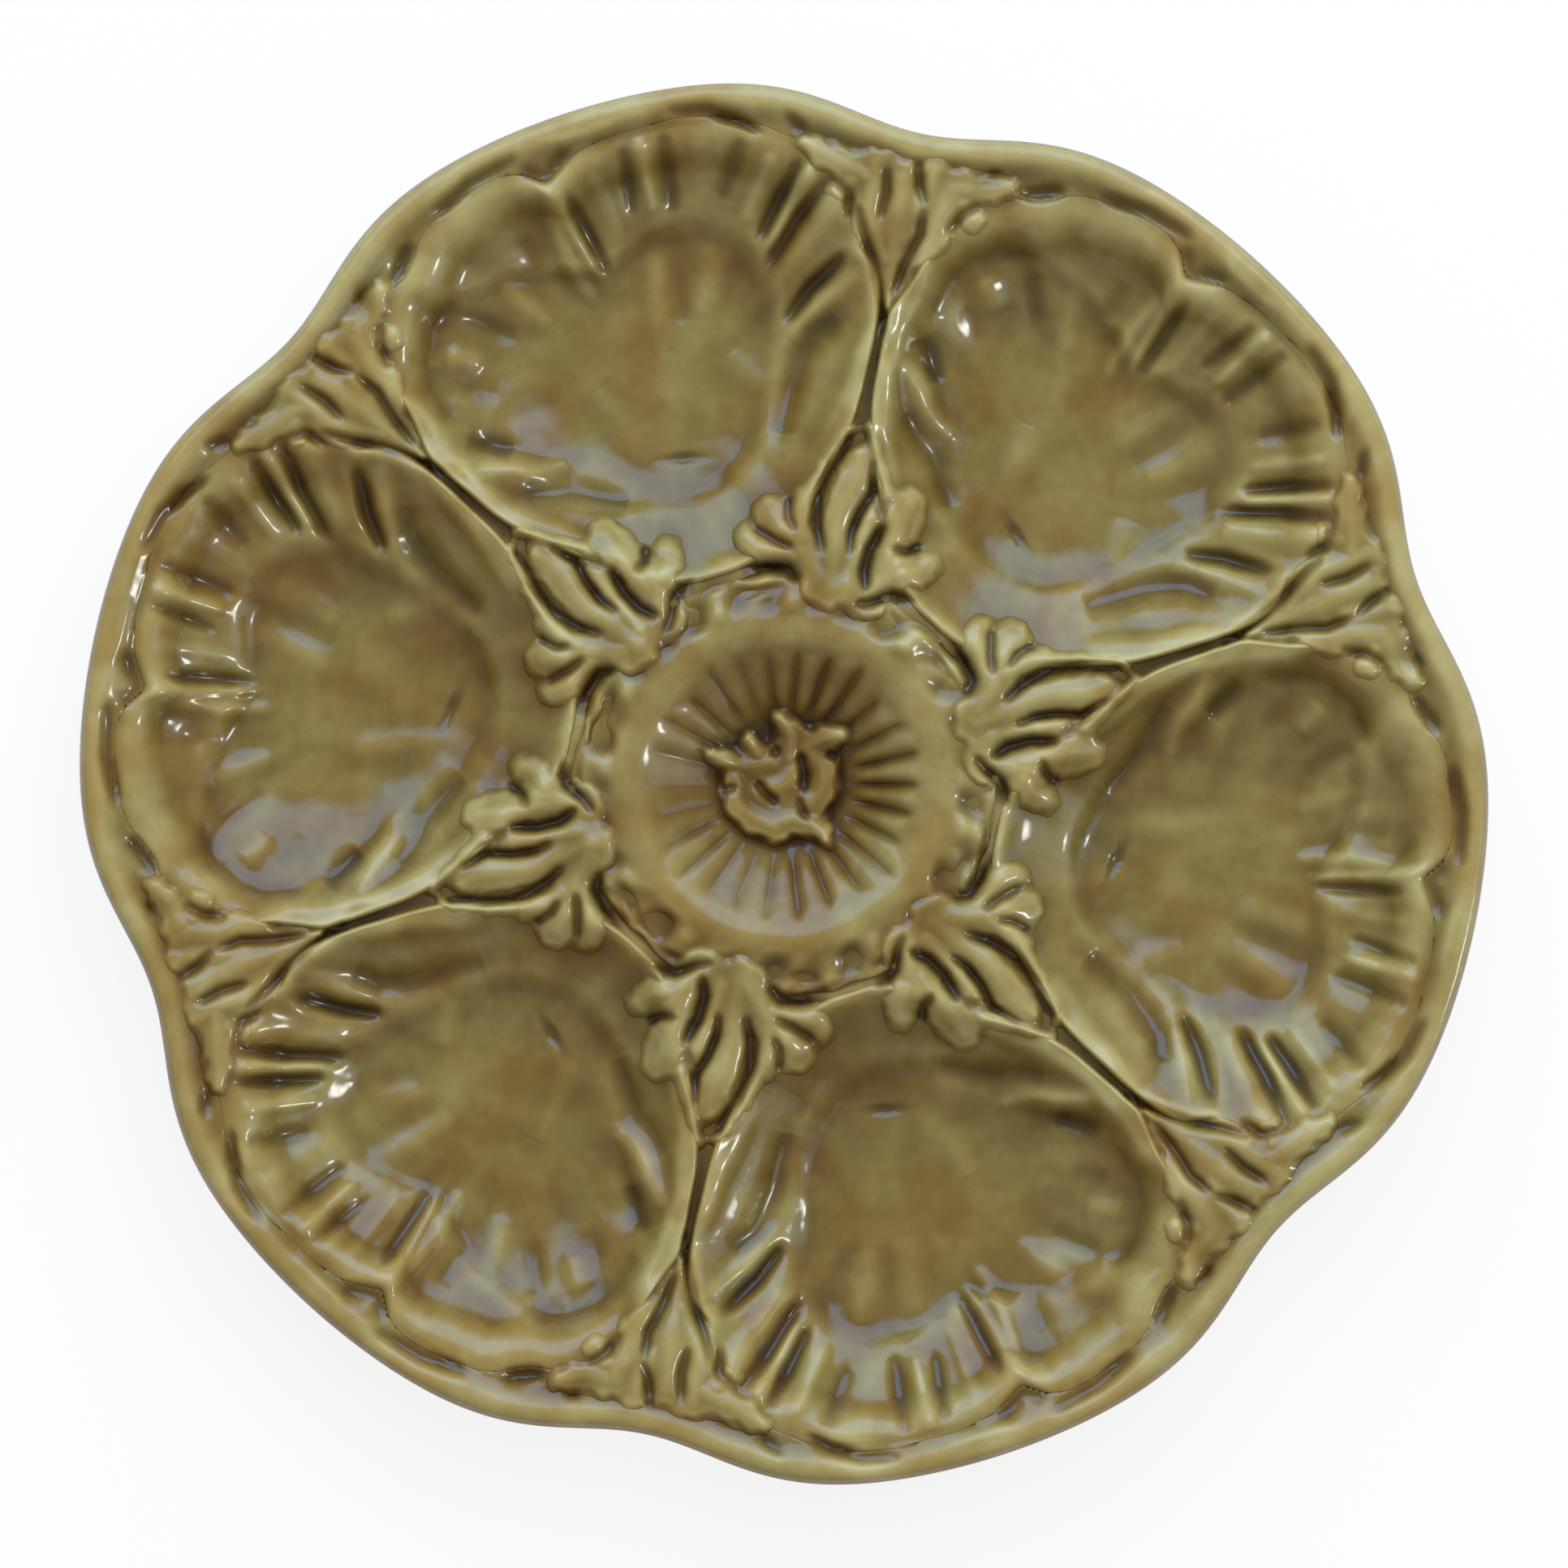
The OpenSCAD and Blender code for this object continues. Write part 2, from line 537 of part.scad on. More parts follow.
// The wreath: a closed ring with two twisted rows of lumpy twigs on a flat underside
wreath_section_count = len(wreath_section_shares);
wreath_points = [
    for (row = wreath_section_shares)
        for (j = [0 : wreath_steps - 1])
            let (
                a = 360 * j / wreath_steps,
                reach = wreath_in_r + (wreath_reach(a) - wreath_in_r) * row[0],
                wave = sin(wreath_twigs * a + 180 * row[0]) * wreath_wave_share,
                p = polar(reach, a)
            )
            [p[0], p[1], ledge_height + wreath_h * row[1] * (1 - wreath_wave_share + wave)]];
wreath_rings = [for (i = [0 : wreath_section_count - 1]) ring(i * wreath_steps, wreath_steps)];
module coral_wreath() {
    color(glaze_light)
    polyhedron(
        points = wreath_points,
        faces = [
            for (i = [0 : wreath_section_count - 2]) each strip(wreath_rings[i], wreath_rings[i + 1]),
            each strip(wreath_rings[wreath_section_count - 1], wreath_rings[0])]);
}

// A frond of coral: a dome of tapering width that follows a bend between three points
function bend_point(p, u) = p[0] * pow(1 - u, 2) + p[1] * 2 * u * (1 - u) + p[2] * pow(u, 2);
function bend_way(p, u) =
    let (d = (p[1] - p[0]) * (1 - u) + (p[2] - p[1]) * u)
    d / norm(d);
function dome_ring(middle, way, half_w, height) =
    [for (i = [0 : dome_steps])
        let (a = 180 * i / dome_steps, q = middle + [way[1], -way[0]] * half_w * cos(a))
        [q[0], q[1], height * sin(a)]];
module frond(p, root_w, tip_w, height) {
    tip = p[2] + bend_way(p, 1) * tip_w / 2 * tip_reach_share;
    points = [
        for (i = [0 : frond_steps])
            let (u = i / frond_steps, w = root_w + (tip_w - root_w) * u)
            each dome_ring(bend_point(p, u), bend_way(p, u), w / 2, height),
        each dome_ring(tip, bend_way(p, 1), tip_w / 2 * tip_w_share, height * tip_h_share)];
    side = dome_steps + 1;
    rings = [for (i = [0 : frond_steps + 1]) ring(i * side, side)];
    polyhedron(
        points = points,
        faces = [
            flipped([rings[0]])[0],
            for (i = [0 : frond_steps]) each flipped(strip(rings[i], rings[i + 1])),
            rings[frond_steps + 1]]);
}

// Fronds of one clump, placed in the room and over the length that it has
module fronds(table, root_r, room, length) {
    for (row = table)
        frond([for (q = [row[0], row[1], row[2]]) [q[0] * room, root_r + q[1] * length]],
              room * row[3], room * row[4], frond_h * row[5]);
}

// Turn from the y axis to the divider after a shell
function divider_turn(k) = shell_turn(k) + half_sector;

// Distance of a shell's edge from the divider on its left, and on its right
function left_room(angle) = spun(shell_point(angle, 1), -half_sector)[0];
function right_room(angle) = -spun(shell_point(angle, 1), half_sector)[0];

// Room for an inner spray beside its divider, between two places on the shells' edges, and
// its place along the divider
spray_left_angle = 246;
spray_right_angle = -63;
spray_room = min(left_room(spray_left_angle), right_room(spray_right_angle)) - relief_gap;
spray_root_r = wreath_out_r + wreath_swell + relief_gap;
spray_length = shell_centre_r * cos(half_sector) - spray_root_r;
module coral_spray(k) {
    color(glaze_light)
    rotate(divider_turn(k))
    translate([0, 0, ledge_height])
    fronds(spray_shares, spray_root_r, spray_room, spray_length);
}

// Room for a clump between two shells and the rim's notch
rim_coral_left_angle = 159;
rim_coral_right_angle = 24;
rim_coral_room = min(left_room(rim_coral_left_angle), right_room(rim_coral_right_angle)) - relief_gap;
rim_coral_root_r = shell_centre_r / cos(half_sector);
rim_coral_length = rim_reach(half_sector) - border_w - relief_gap - rim_coral_root_r;
module rim_coral(k) {
    color(glaze_light)
    rotate(divider_turn(k))
    translate([0, 0, ledge_height])
    fronds(rim_coral_shares, rim_coral_root_r, rim_coral_room, rim_coral_length);
}

// The sprig: leaves of coral on the sauce well's flat floor
module centre_sprig() {
    color(glaze_light)
    translate([0, 0, well_floor_z + sauce_t])
    for (row = sprig_shares)
        frond([for (q = [row[0], row[1], row[2]]) q * sprig_r],
              sprig_r * row[3], sprig_r * row[4], sprig_h);
}

plate_base();
foot_ring();
oyster_shell(0);  // oyster_shell_1
oyster_shell(1);  // oyster_shell_2
oyster_shell(2);  // oyster_shell_3
oyster_shell(3);  // oyster_shell_4
oyster_shell(4);  // oyster_shell_5
oyster_shell(5);  // oyster_shell_6
sauce_well();
coral_wreath();
coral_spray(0);  // coral_spray_1
coral_spray(1);  // coral_spray_2
coral_spray(2);  // coral_spray_3
coral_spray(3);  // coral_spray_4
coral_spray(4);  // coral_spray_5
coral_spray(5);  // coral_spray_6
rim_coral(0);  // rim_coral_1
rim_coral(1);  // rim_coral_2
rim_coral(2);  // rim_coral_3
rim_coral(3);  // rim_coral_4
rim_coral(4);  // rim_coral_5
rim_coral(5);  // rim_coral_6
centre_sprig();
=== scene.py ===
"""Looks of the oyster plate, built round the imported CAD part.

Lengths are millimetres in the plate's frame and become metres when a mesh is made. A shell's own
frame has its y axis through the shell's middle, away from the plate's centre, and a divider's
frame has it halfway between two shells.
"""
import math

import bpy
import mathutils
import numpy as np
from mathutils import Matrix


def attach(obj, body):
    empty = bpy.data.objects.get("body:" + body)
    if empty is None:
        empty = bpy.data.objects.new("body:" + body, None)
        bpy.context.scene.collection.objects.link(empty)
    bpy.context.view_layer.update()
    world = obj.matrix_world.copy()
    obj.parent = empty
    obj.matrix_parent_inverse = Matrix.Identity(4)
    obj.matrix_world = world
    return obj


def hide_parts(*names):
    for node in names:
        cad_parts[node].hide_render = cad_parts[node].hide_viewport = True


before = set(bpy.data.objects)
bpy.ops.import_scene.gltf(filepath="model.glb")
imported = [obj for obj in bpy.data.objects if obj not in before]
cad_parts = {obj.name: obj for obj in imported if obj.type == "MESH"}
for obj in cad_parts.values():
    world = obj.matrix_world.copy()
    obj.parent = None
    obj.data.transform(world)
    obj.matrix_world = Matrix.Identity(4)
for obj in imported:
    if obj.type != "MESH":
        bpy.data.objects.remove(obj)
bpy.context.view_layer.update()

MM = 0.001  # metres in a millimetre

# Driving sizes of the CAD part, in millimetres and degrees
LOBE_REACH = 125.0
NOTCH_DEPTH = 7.2
NOTCH_SPREAD = 10.0
RIM_HEIGHT = 26.5
RIM_T = 4.2
BORDER_W = 5.8
LEDGE = 19.5
FLOOR_Z = 8.0
FOOT_H = 3.5
FOOT_LAND_R = 78.0
SHELL_T = 1.8
SHELL_IN_R = 38.1
SHELL_OUT_R = 117.0
CENTRE_R = 80.0
SHELL_UP = SHELL_OUT_R - CENTRE_R
SHELL_DOWN = CENTRE_R - SHELL_IN_R
HALF_W = 44.19
SAUCE_R = 27.0
SAUCE_T = 2.0
SECTORS = 6
SECTOR = 60.0
WELL_ANGLE = 48.0

# Ground: its rise over the ledge, and how much more it rises towards the ring and the rim
GROUND_UP, GROUND_UP_IN, GROUND_UP_OUT = 1.4, 0.9, 3.5

# Rim: foot and top of its inner slope, width and height of its rounded edge, its tuck below,
# and the power of the back's curve
BORDER_FOOT, BORDER_TOP = 1.4, 2.8
ROUND_W, ROUND_H = 2.9, 2.4
RIM_TUCK = 1.3
BACK_CURVE = 1.75

# Shell: levels of its lip over the ledge, the lip's roll, ruffle and width, the power of the
# bowl's curve, and the step of its inner bowl
LIP_OUTER, LIP_INNER = 5.2, 2.4
LIP_ROLL, LIP_RUFFLE, LIP_W = 0.5, 0.28, 0.055
BOWL_CURVE = 2.3
BOWL_DROP = 1.5

# Places in a shell as shares of its reach: the lip's crest, where its edge falls off, how far
# out the dish is sunk, and where the fan flattens into the border
CREST = 0.977
EDGE_FROM = 0.979
SINK_TO = 0.985
FLARE_FROM, FLARE_TO = 0.78, 0.985

# Level above which a shell's relief is held down, and how far it may pass it
SOFT_FROM, SOFT_BY = 25.0, 1.1

# Well below a shell: the share at which its wall ends, how far the wall's end is raised near
# the rim, how deep the shell's underside lies in it, and its least distance from the back
WELL_SHARE = 0.93
WELL_LIFT = 1.8
UNDER_DEPTH = 0.5
BACK_T = 0.7

# Ring: inner and outer reach, its spread towards the sprays, height and reach of its crest,
# height of its lumps, and reach, width and depth of the groove among its twigs
WREATH_FROM, WREATH_OUT, WREATH_SWELL, WREATH_H = 26.9, 37.4, 1.2, 4.3
CREST_R = 28.6
LUMP_H = 1.3
GROOVE_R, GROOVE_W, GROOVE_D = 35.6, 0.85, 1.2

# Sauce well: reach of its flat floor, bend of its wall's ends as a share of the wall, height
# and outer end of its flutes, and the share of its reach at which the lining's bottom ends
SAUCE_FLAT_R = 6.0
SAUCE_BEND = 0.2
FLUTE_H, FLUTE_END = 1.4, 23.6
PIT_SHARE = 0.6

# Corals: height of an inner and an outer frond and of the knot's leaves, their highest
# level, softness of their joins, mesh step, the sheet's thickness, and how deep under the
# ground the sheet is cut off
CORAL_H = 1.8
CLUMP_H = 1.8
KNOT_H = 3.5
CORAL_TOP = 26.3
JOIN = 0.7
CORAL_PITCH = 0.36
CORAL_SHEET = 1.2
CORAL_SINK = 2.0

# Rectangles that hold the corals' fronds, in a divider's frame, and the knot
SPRAY_BOX = (-22, 27, 23, 68)
CLUMP_BOX = (-25, 84, 23, 118)
KNOT_BOX = (-18, -15, 16, 18)

# Points round the dish, a shell, the sauce well and the ring
DISH_AROUND, SHELL_AROUND, SAUCE_AROUND, WREATH_AROUND = 840, 400, 480, 720

# The square map of the face, from which each vertex reads its glaze
PITCH = 0.3
MAP_REACH = 132.0
CELLS = int(2 * MAP_REACH / PITCH)

# Glaze: thickness on a plain face, and what hollows of a width in millimetres add to it
PLAIN_GLAZE = 0.40
HOLLOWS = ((0.8, 0.30), (2.0, 0.22), (6.0, 0.035))

# Glaze: what fine mottles, wide patches and warmth add, their mean, and the noise at which
# the olive glaze ends and the amber one is reached
MOTTLE, PATCHES, WARM_PART = 0.30, 0.32, 0.16
NOISE_MEAN = 0.32
ALL_OLIVE, ALL_AMBER = 0.43, 0.64

# Unevenness of the surface and of the corals' edges: height in millimetres, two slopes of the
# phase per millimetre, start
WAVES = [(0.10, 0.31, 0.12, 0.4), (0.09, -0.16, 0.27, 1.9), (0.08, 0.43, -0.33, 3.1),
         (0.06, 0.12, 0.61, 5.2), (0.06, -0.52, -0.28, 0.9), (0.12, 0.11, -0.09, 2.2)]
RAGGED = [(0.11, 1.35, 0.4, 0.3), (0.11, -0.5, 1.25, 2.1), (0.11, 0.9, -1.1, 4.0),
          (0.11, 1.9, 1.3, 1.2)]

# Unevenness round a circle: height, waves in the circle, start in degrees
LIP_WAVES = [(1, 7, 30), (0.8, 17, 100), (0.8, 26, 220)]
GROOVE_WAVES = [(1.0, 6, 70), (0.5, 13, 0)]
GROOVE_GAPS = [(1, 12, 40), (0.5, 5, 0)]
FLUTE_ENDS = [(0.9, 7, 15), (0.6, 11, 200)]
FLUTE_WAVES = [(0.34, 1, 75), (0.2, 5, 100)]

# Lumps of the ring: waves in the circle, twist, start in degrees
LUMP_WAVES = [(11, 0.7, 20), (17, -1.1, 75), (29, 1.6, 190), (7, 0.5, 310)]

# Windows as width, height in metres and radiance: beyond the plate, and at its right
FAR_WINDOWS = ((2.9, 2.0, 0.95), (2.5, 1.6, 1.2), (2.1, 1.2, 1.5))
RIGHT_WINDOWS = ((1.3, 1.17, 0.36), (0.8, 0.72, 0.55))

# Outline of a shell: stretched direction in degrees, reach as a share
OUTLINE = [
    (-90, 0.99), (-83.5, 0.992), (-75.9, 0.977), (-68.7, 0.948), (-61.9, 0.942),
    (-57.5, 0.926), (-51.4, 0.91), (-45.3, 0.904), (-37.7, 0.901), (-30.2, 0.901),
    (-21.4, 0.911), (-12.8, 0.94), (-7.6, 0.97), (-1.7, 0.992), (4.9, 1.004),
    (11.2, 1.003), (17.3, 1.045), (23.7, 1.095), (30.4, 1.11), (34.6, 1.122),
    (40.1, 1.136), (45.7, 1.133), (52, 1.139), (56.7, 1.138), (66, 1.115),
    (75.3, 1.07), (85, 1.042), (90.8, 1.016), (95.3, 0.983), (100.2, 0.95),
    (103.3, 1.022), (108.4, 1.077), (119.3, 1.11), (128.5, 1.119), (135, 1.094),
    (140.2, 1.09), (145.5, 1.115), (152.6, 1.091), (160.2, 1.068), (167.6, 1.033),
    (174.3, 0.987), (180.8, 0.971), (187.7, 0.966), (192.8, 0.94), (201.4, 0.911),
    (210.3, 0.899), (217.8, 0.891), (225.5, 0.891), (231.9, 0.888), (238.7, 0.885),
    (245.2, 0.894), (252.1, 0.943), (257.8, 0.967), (263.4, 0.987)]

# Edge of the inner bowl, where the flutes end, as the outline is given
INNER = [
    (-90, 0.668), (-69.2, 0.638), (-48.2, 0.577), (-21, 0.533), (4.1, 0.567),
    (22.8, 0.628), (42.7, 0.677), (64.3, 0.651), (78.5, 0.565), (98, 0.486),
    (111.7, 0.582), (126.2, 0.727), (143, 0.862), (154.5, 0.917), (169.4, 0.88),
    (188.6, 0.801), (202.9, 0.675), (225.1, 0.641), (249.6, 0.649)]

# Grooves and ridges of a shell in its own frame: height in millimetres, width, points
STROKES = [
    (-1.6, 1.5, [(-4.2, 111), (-3, 104), (-1.8, 97)]),
    (0.9, 1.7, [(-8, 113.5), (-8, 101), (-6, 93)]),
    (0.5, 1.6, [(1.2, 113), (1.8, 101)]),
    (-1.0, 1.2, [(7.6, 116), (5.8, 105)]),
    (1.0, 1.3, [(10.6, 117), (9.4, 104)]),
    (-1.2, 1.6, [(15, 116), (12.8, 103)]),
    (0.5, 2.5, [(21, 113), (17, 102)]),
    (-1.1, 1.8, [(28, 111), (21.5, 102.5)]),
    (0.9, 1.6, [(32.5, 106.5), (24, 97.5)]),
    (-1.8, 1.4, [(36.5, 104), (31, 99), (26, 94)]),
    (1.1, 1.4, [(38.5, 102.5), (27.5, 92)]),
    (-1.8, 1.6, [(41, 99.8), (33, 95), (26, 88.8)]),
    (1.1, 2.4, [(43, 97), (27.5, 86)]),
    (-2.0, 1.6, [(39, 86), (32, 82.6), (26, 78.6)]),
    (0.9, 2.2, [(40.5, 82), (33, 79.5), (25.5, 75.2)]),
    (-1.8, 3.0, [(34.5, 75.8), (29.5, 74.5), (24, 68.5), (18.6, 59.5)]),
    (0.7, 1.8, [(39.5, 72), (33, 63.6), (23.5, 54.5)]),
    (-1.2, 2.2, [(-29, 99.8), (-35, 96.4), (-37.6, 91.4), (-38, 86), (-36.4, 80)]),
    (-1.4, 2.2, [(-35, 75.2), (-27.5, 71.6)]),
    (1.0, 2.0, [(-34.5, 70.2), (-26, 67.2), (-19, 66)]),
    (-1.5, 2.4, [(-28, 63.6), (-20, 61), (-11, 56)]),
    (0.8, 1.6, [(-40.6, 83), (-39.4, 77.5), (-35, 67), (-28, 58.4), (-20, 52.4)]),
    (0.9, 2.4, [(-33.5, 91), (-28, 88)]),
    (0.6, 2.2, [(-20, 100), (-14.5, 91)]),
    (-0.6, 2.0, [(-28, 97), (-21, 90.5)]),
    (-0.7, 2.2, [(-14, 107), (-13.5, 100)]),
    (-0.4, 2.0, [(-33, 84.5), (-27, 82)]),
    (0.5, 2.6, [(-10, 77), (-5, 62)]),
    (0.5, 2.6, [(14, 76), (18, 68)]),
    (-0.8, 3.2, [(1, 62), (0.5, 60)]),
    (0.5, 3.0, [(-26, 108), (-16, 110)]),
    (0.4, 2.6, [(7, 97), (4, 84)]),
    (-0.4, 2.4, [(12, 99), (8, 84)]),
    (0.4, 2.6, [(17, 96), (11.5, 84)]),
    (-0.4, 2.4, [(21, 92), (14.5, 82)]),
]

# Cuts along the rim's border and the rounded corners of a shell, in the same frame
BORDER_CUTS = [
    (-1.9, 1.3, [(-27.5, 115.2), (-20, 118.6), (-11, 120.2)]),
    (-1.7, 1.5, [(-10.5, 117.6), (-7, 115.6), (-1.6, 118.8)]),
    (-2.1, 1.4, [(-38.4, 106), (-33.4, 111.4)]),
    (-1.8, 1.2, [(-44.6, 100.4), (-44.2, 106)]),
    (-1.9, 1.3, [(17.5, 119.6), (24, 117.8), (28.2, 114.8), (31.4, 111.4)]),
    (-1.4, 1.2, [(45.6, 93.5), (43.8, 98.4)]),
    (-1.5, 1.3, [(42.4, 87.4), (45, 83.5)]),
    (-1.3, 1.1, [(37, 112.6), (39.6, 108.8)]),
    (0.6, 1.6, [(-3, 121), (8, 120.6)]),
    (-2.2, 1.3, [(-7, 36.9), (3, 36.3), (11, 37.6), (14.6, 34.6)]),
]

# Fronds of an inner coral spray, in the frame of a divider: points with their radius
SPRAY = [
    [(0.4, 36.0, 4.8), (0.2, 42.0, 3.9), (-0.4, 47.0, 3.7), (0.6, 52.0, 4.2), (1.3, 56.4, 3.8),
     (0.6, 60.0, 2.0)],
    [(-1.5, 37.0, 4.2), (-5.2, 40.6, 3.8), (-9.0, 43.4, 3.7), (-12.2, 46.4, 4.0)],
    [(-7.0, 39.6, 3.6), (-12.0, 39.8, 3.3), (-15.6, 41.6, 2.8)],
    [(-6.4, 43.0, 3.0), (-7.4, 47.4, 2.9), (-6.8, 50.8, 2.2)],
    [(-6.6, 51.0, 1.6), (-4.6, 57.0, 1.8), (-1.8, 64.0, 1.2)],
    [(3.4, 37.6, 3.8), (4.6, 43.0, 3.0), (4.8, 49.0, 2.8)],
    [(7.6, 35.4, 4.4), (10.0, 39.6, 4.2), (11.6, 42.6, 4.0)],
    [(9.6, 41.0, 3.6), (10.4, 46.0, 3.8), (11.0, 50.0, 4.2), (11.8, 53.4, 3.6)],
    [(12.0, 40.6, 3.3), (15.4, 41.6, 3.2), (17.2, 43.4, 2.8)],
    [(7.4, 54.0, 1.8), (4.6, 59.0, 1.6), (2.0, 65.0, 1.2)],
]

# Fronds of a coral clump at a notch of the rim, in the same frame
CLUMP = [
    [(0.2, 86.6, 1.4), (0.0, 92.0, 3.2), (-0.8, 96.0, 4.0), (-0.8, 100.0, 4.2), (-1.6, 104.5, 4.4),
     (-2.0, 109.0, 4.2)],
    [(-1.6, 94.5, 3.0), (-5.0, 98.4, 3.6), (-6.6, 102.4, 3.6), (-6.6, 107.4, 3.8),
     (-7.0, 110.6, 3.4)],
    [(1.2, 95.0, 3.2), (4.6, 99.2, 4.0), (6.0, 104.0, 4.2), (7.6, 108.8, 4.0)],
    [(2.4, 104.0, 3.4), (3.2, 109.0, 3.6), (3.4, 111.2, 3.0)],
    [(-8.2, 108.2, 3.6), (-12.6, 109.6, 3.4), (-17.0, 110.8, 2.9), (-20.0, 111.8, 2.0)],
    [(-10.4, 107.0, 3.2), (-12.0, 104.8, 2.8)],
    [(9.0, 109.4, 3.6), (13.6, 110.4, 3.2), (17.0, 111.4, 2.4)],
    [(9.8, 106.6, 3.2), (12.0, 104.4, 2.9)],
]

# Slots that part the fronds, in the same frame: depth, width, points
CORAL_CUTS = [
    (-2.0, 1.0, [(-1.4, 63), (-3.6, 57), (-4.6, 51), (-4.0, 46.6), (-2.0, 42)]),
    (-1.8, 0.85, [(3.6, 59), (4.6, 54), (3.2, 50), (2.4, 46), (2.8, 42.6)]),
    (-2.1, 1.1, [(7.8, 48.6), (6.2, 44), (6.0, 40), (7.1, 36.6)]),
    (-2.1, 1.2, [(-15.4, 34.4), (-11, 36.8), (-7.4, 37.4), (-4.8, 36.0)]),
    (-1.8, 1.0, [(6.0, 33.8), (8.6, 34.8), (11.8, 36.8), (15.8, 36.4)]),
    (-1.4, 0.9, [(-14.4, 43.4), (-10.6, 42.0), (-7.2, 41.4)]),
    (-1.5, 0.9, [(15.0, 46.6), (12.8, 44.8), (10.2, 44.8)]),
    (-1.3, 0.8, [(-9.8, 49.8), (-9.0, 46.4), (-7.4, 44.6)]),
    (-1.7, 1.0, [(-8.6, 102.6), (-6.4, 98.2), (-3.6, 93.4), (-1.8, 89), (0.4, 82)]),
    (-1.5, 0.9, [(0.8, 89), (1.8, 95), (3.4, 100), (3.0, 104.6)]),
    (-1.2, 0.9, [(-4.8, 110.4), (-3.9, 106), (-4.2, 101.4)]),
    (-1.5, 1.0, [(-13.8, 106.6), (-10.8, 104.6), (-9.6, 100.4)]),
    (-1.3, 0.9, [(0.2, 112.6), (1.6, 108.4), (3.2, 105.4)]),
    (-1.4, 1.0, [(12.6, 107.6), (10.0, 105.2), (8.0, 101.4)]),
]

# Leaves of the knot in the sauce well, and the slots between them
KNOT = [
    [(-12.8, 5.2, 1.9), (-9.6, 3.8, 2.6), (-6.0, 3.2, 3.4), (-2.4, 4.0, 3.6)],
    [(-8.4, 1.0, 3.0), (-8.0, -3.4, 3.4), (-5.0, -6.0, 3.6), (-1.6, -7.6, 3.2)],
    [(-4.0, -1.4, 4.2), (0.0, 0.0, 4.4), (2.6, 3.0, 4.2)],
    [(-1.6, -7.0, 3.4), (2.6, -6.2, 3.6), (6.4, -8.2, 2.6), (7.4, -10.0, 1.8)],
    [(1.4, 4.8, 3.6), (1.0, 8.8, 3.0), (-0.6, 11.4, 2.2)],
    [(3.4, -4.0, 4.0), (6.2, -1.6, 3.6), (6.8, 2.2, 3.3), (5.0, 5.4, 3.6)],
    [(4.0, 6.4, 3.6), (7.2, 8.0, 3.2), (9.6, 8.4, 2.4)],
    [(-4.6, 5.2, 2.8), (-6.2, 7.8, 2.0)],
]
KNOT_CUTS = [
    (-2.0, 0.9, [(-5.0, 0.4), (-3.4, -1.6), (-1.2, -3.4)]),
    (-2.2, 0.9, [(2.8, 5.2), (3.6, 1.6), (3.4, -1.0)]),
    (-1.3, 0.9, [(-1.8, 6.8), (-1.4, 4.8)]),
    (-1.5, 0.8, [(2.4, -2.6), (4.0, -6.4)]),
    (-1.1, 0.8, [(7.4, 5.4), (9.6, 4.8)]),
    (-1.1, 0.8, [(-11.0, -1.0), (-8.4, -0.6)]),
]


def between(p, q, r, s, u):
    """Value on a smooth curve from q to r, whose neighbours are p and s."""
    return (2 * q + (r - p) * u + (2 * p - 5 * q + 4 * r - s) * u ** 2
            + (3 * q - p - 3 * r + s) * u ** 3) / 2


def smooth_at(table, angles):
    """Value of a closed table at angles, on a smooth curve through its rows."""
    keys = np.array([row[0] for row in table], float)
    values = np.array([row[1] for row in table], float)
    count = len(keys)
    a = keys[0] + np.mod(np.asarray(angles, float) - keys[0], 360.0)
    i = np.searchsorted(keys, a, side="right") - 1
    p, q, r, s = (values[(i + step) % count] for step in (-1, 0, 1, 2))
    start = keys[i]
    end = np.where(i + 1 < count, keys[(i + 1) % count], keys[0] + 360.0)
    return between(p, q, r, s, (a - start) / (end - start))


def step_up(low, high, x):
    """Smooth rise from 0 to 1 between two values."""
    u = np.clip((x - low) / (high - low), 0, 1)
    return u * u * (3 - 2 * u)


def quarter_round(u):
    """Fall of a rounded edge, from 0 at its start to nearly 1 at its end."""
    return 1 - np.sqrt(1 - np.minimum(u, 0.999) ** 2)


def waves(x, y, rows):
    """Sum of waves over the plane."""
    return sum(size * np.sin(fx * x + fy * y + start) for size, fx, fy, start in rows)


def round_waves(angle, rows):
    """Sum of waves round a circle."""
    return sum(size * np.sin(np.radians(count * angle + start)) for size, count, start in rows)


def rim_reach(away):
    """Reach of the rim in a direction counted in degrees from a shell's middle."""
    from_notch = np.abs(SECTOR / 2 - np.mod(away, SECTOR))
    return LOBE_REACH - NOTCH_DEPTH * np.exp(-(from_notch / NOTCH_SPREAD) ** 2)


def spun(x, y, degrees):
    """Point turned about the plate's centre."""
    c, s = math.cos(math.radians(degrees)), math.sin(math.radians(degrees))
    return x * c - y * s, x * s + y * c


def from_well(x, y):
    """Direction of points in degrees, counted from the first shell's middle."""
    return np.degrees(np.arctan2(y, x)) - WELL_ANGLE


def sectors(x, y, shift=0.0):
    """Number of each shell, the points nearest to it, and those points in its own frame. A
    shift of one half gives the dividers."""
    nearest = np.mod(np.round(from_well(x, y) / SECTOR - shift), SECTORS)
    for k in range(SECTORS):
        here = nearest == k
        yield k, here, spun(x[here], y[here], 90 - WELL_ANGLE - SECTOR * (k + shift))


def stretched(x, y):
    """Direction and share of the reach of a point in a shell's own frame."""
    across = x / HALF_W
    out = (y - CENTRE_R) / np.where(y > CENTRE_R, SHELL_UP, SHELL_DOWN)
    angle = np.degrees(np.arctan2(out, across))
    return angle, np.hypot(across, out) / smooth_at(OUTLINE, angle)


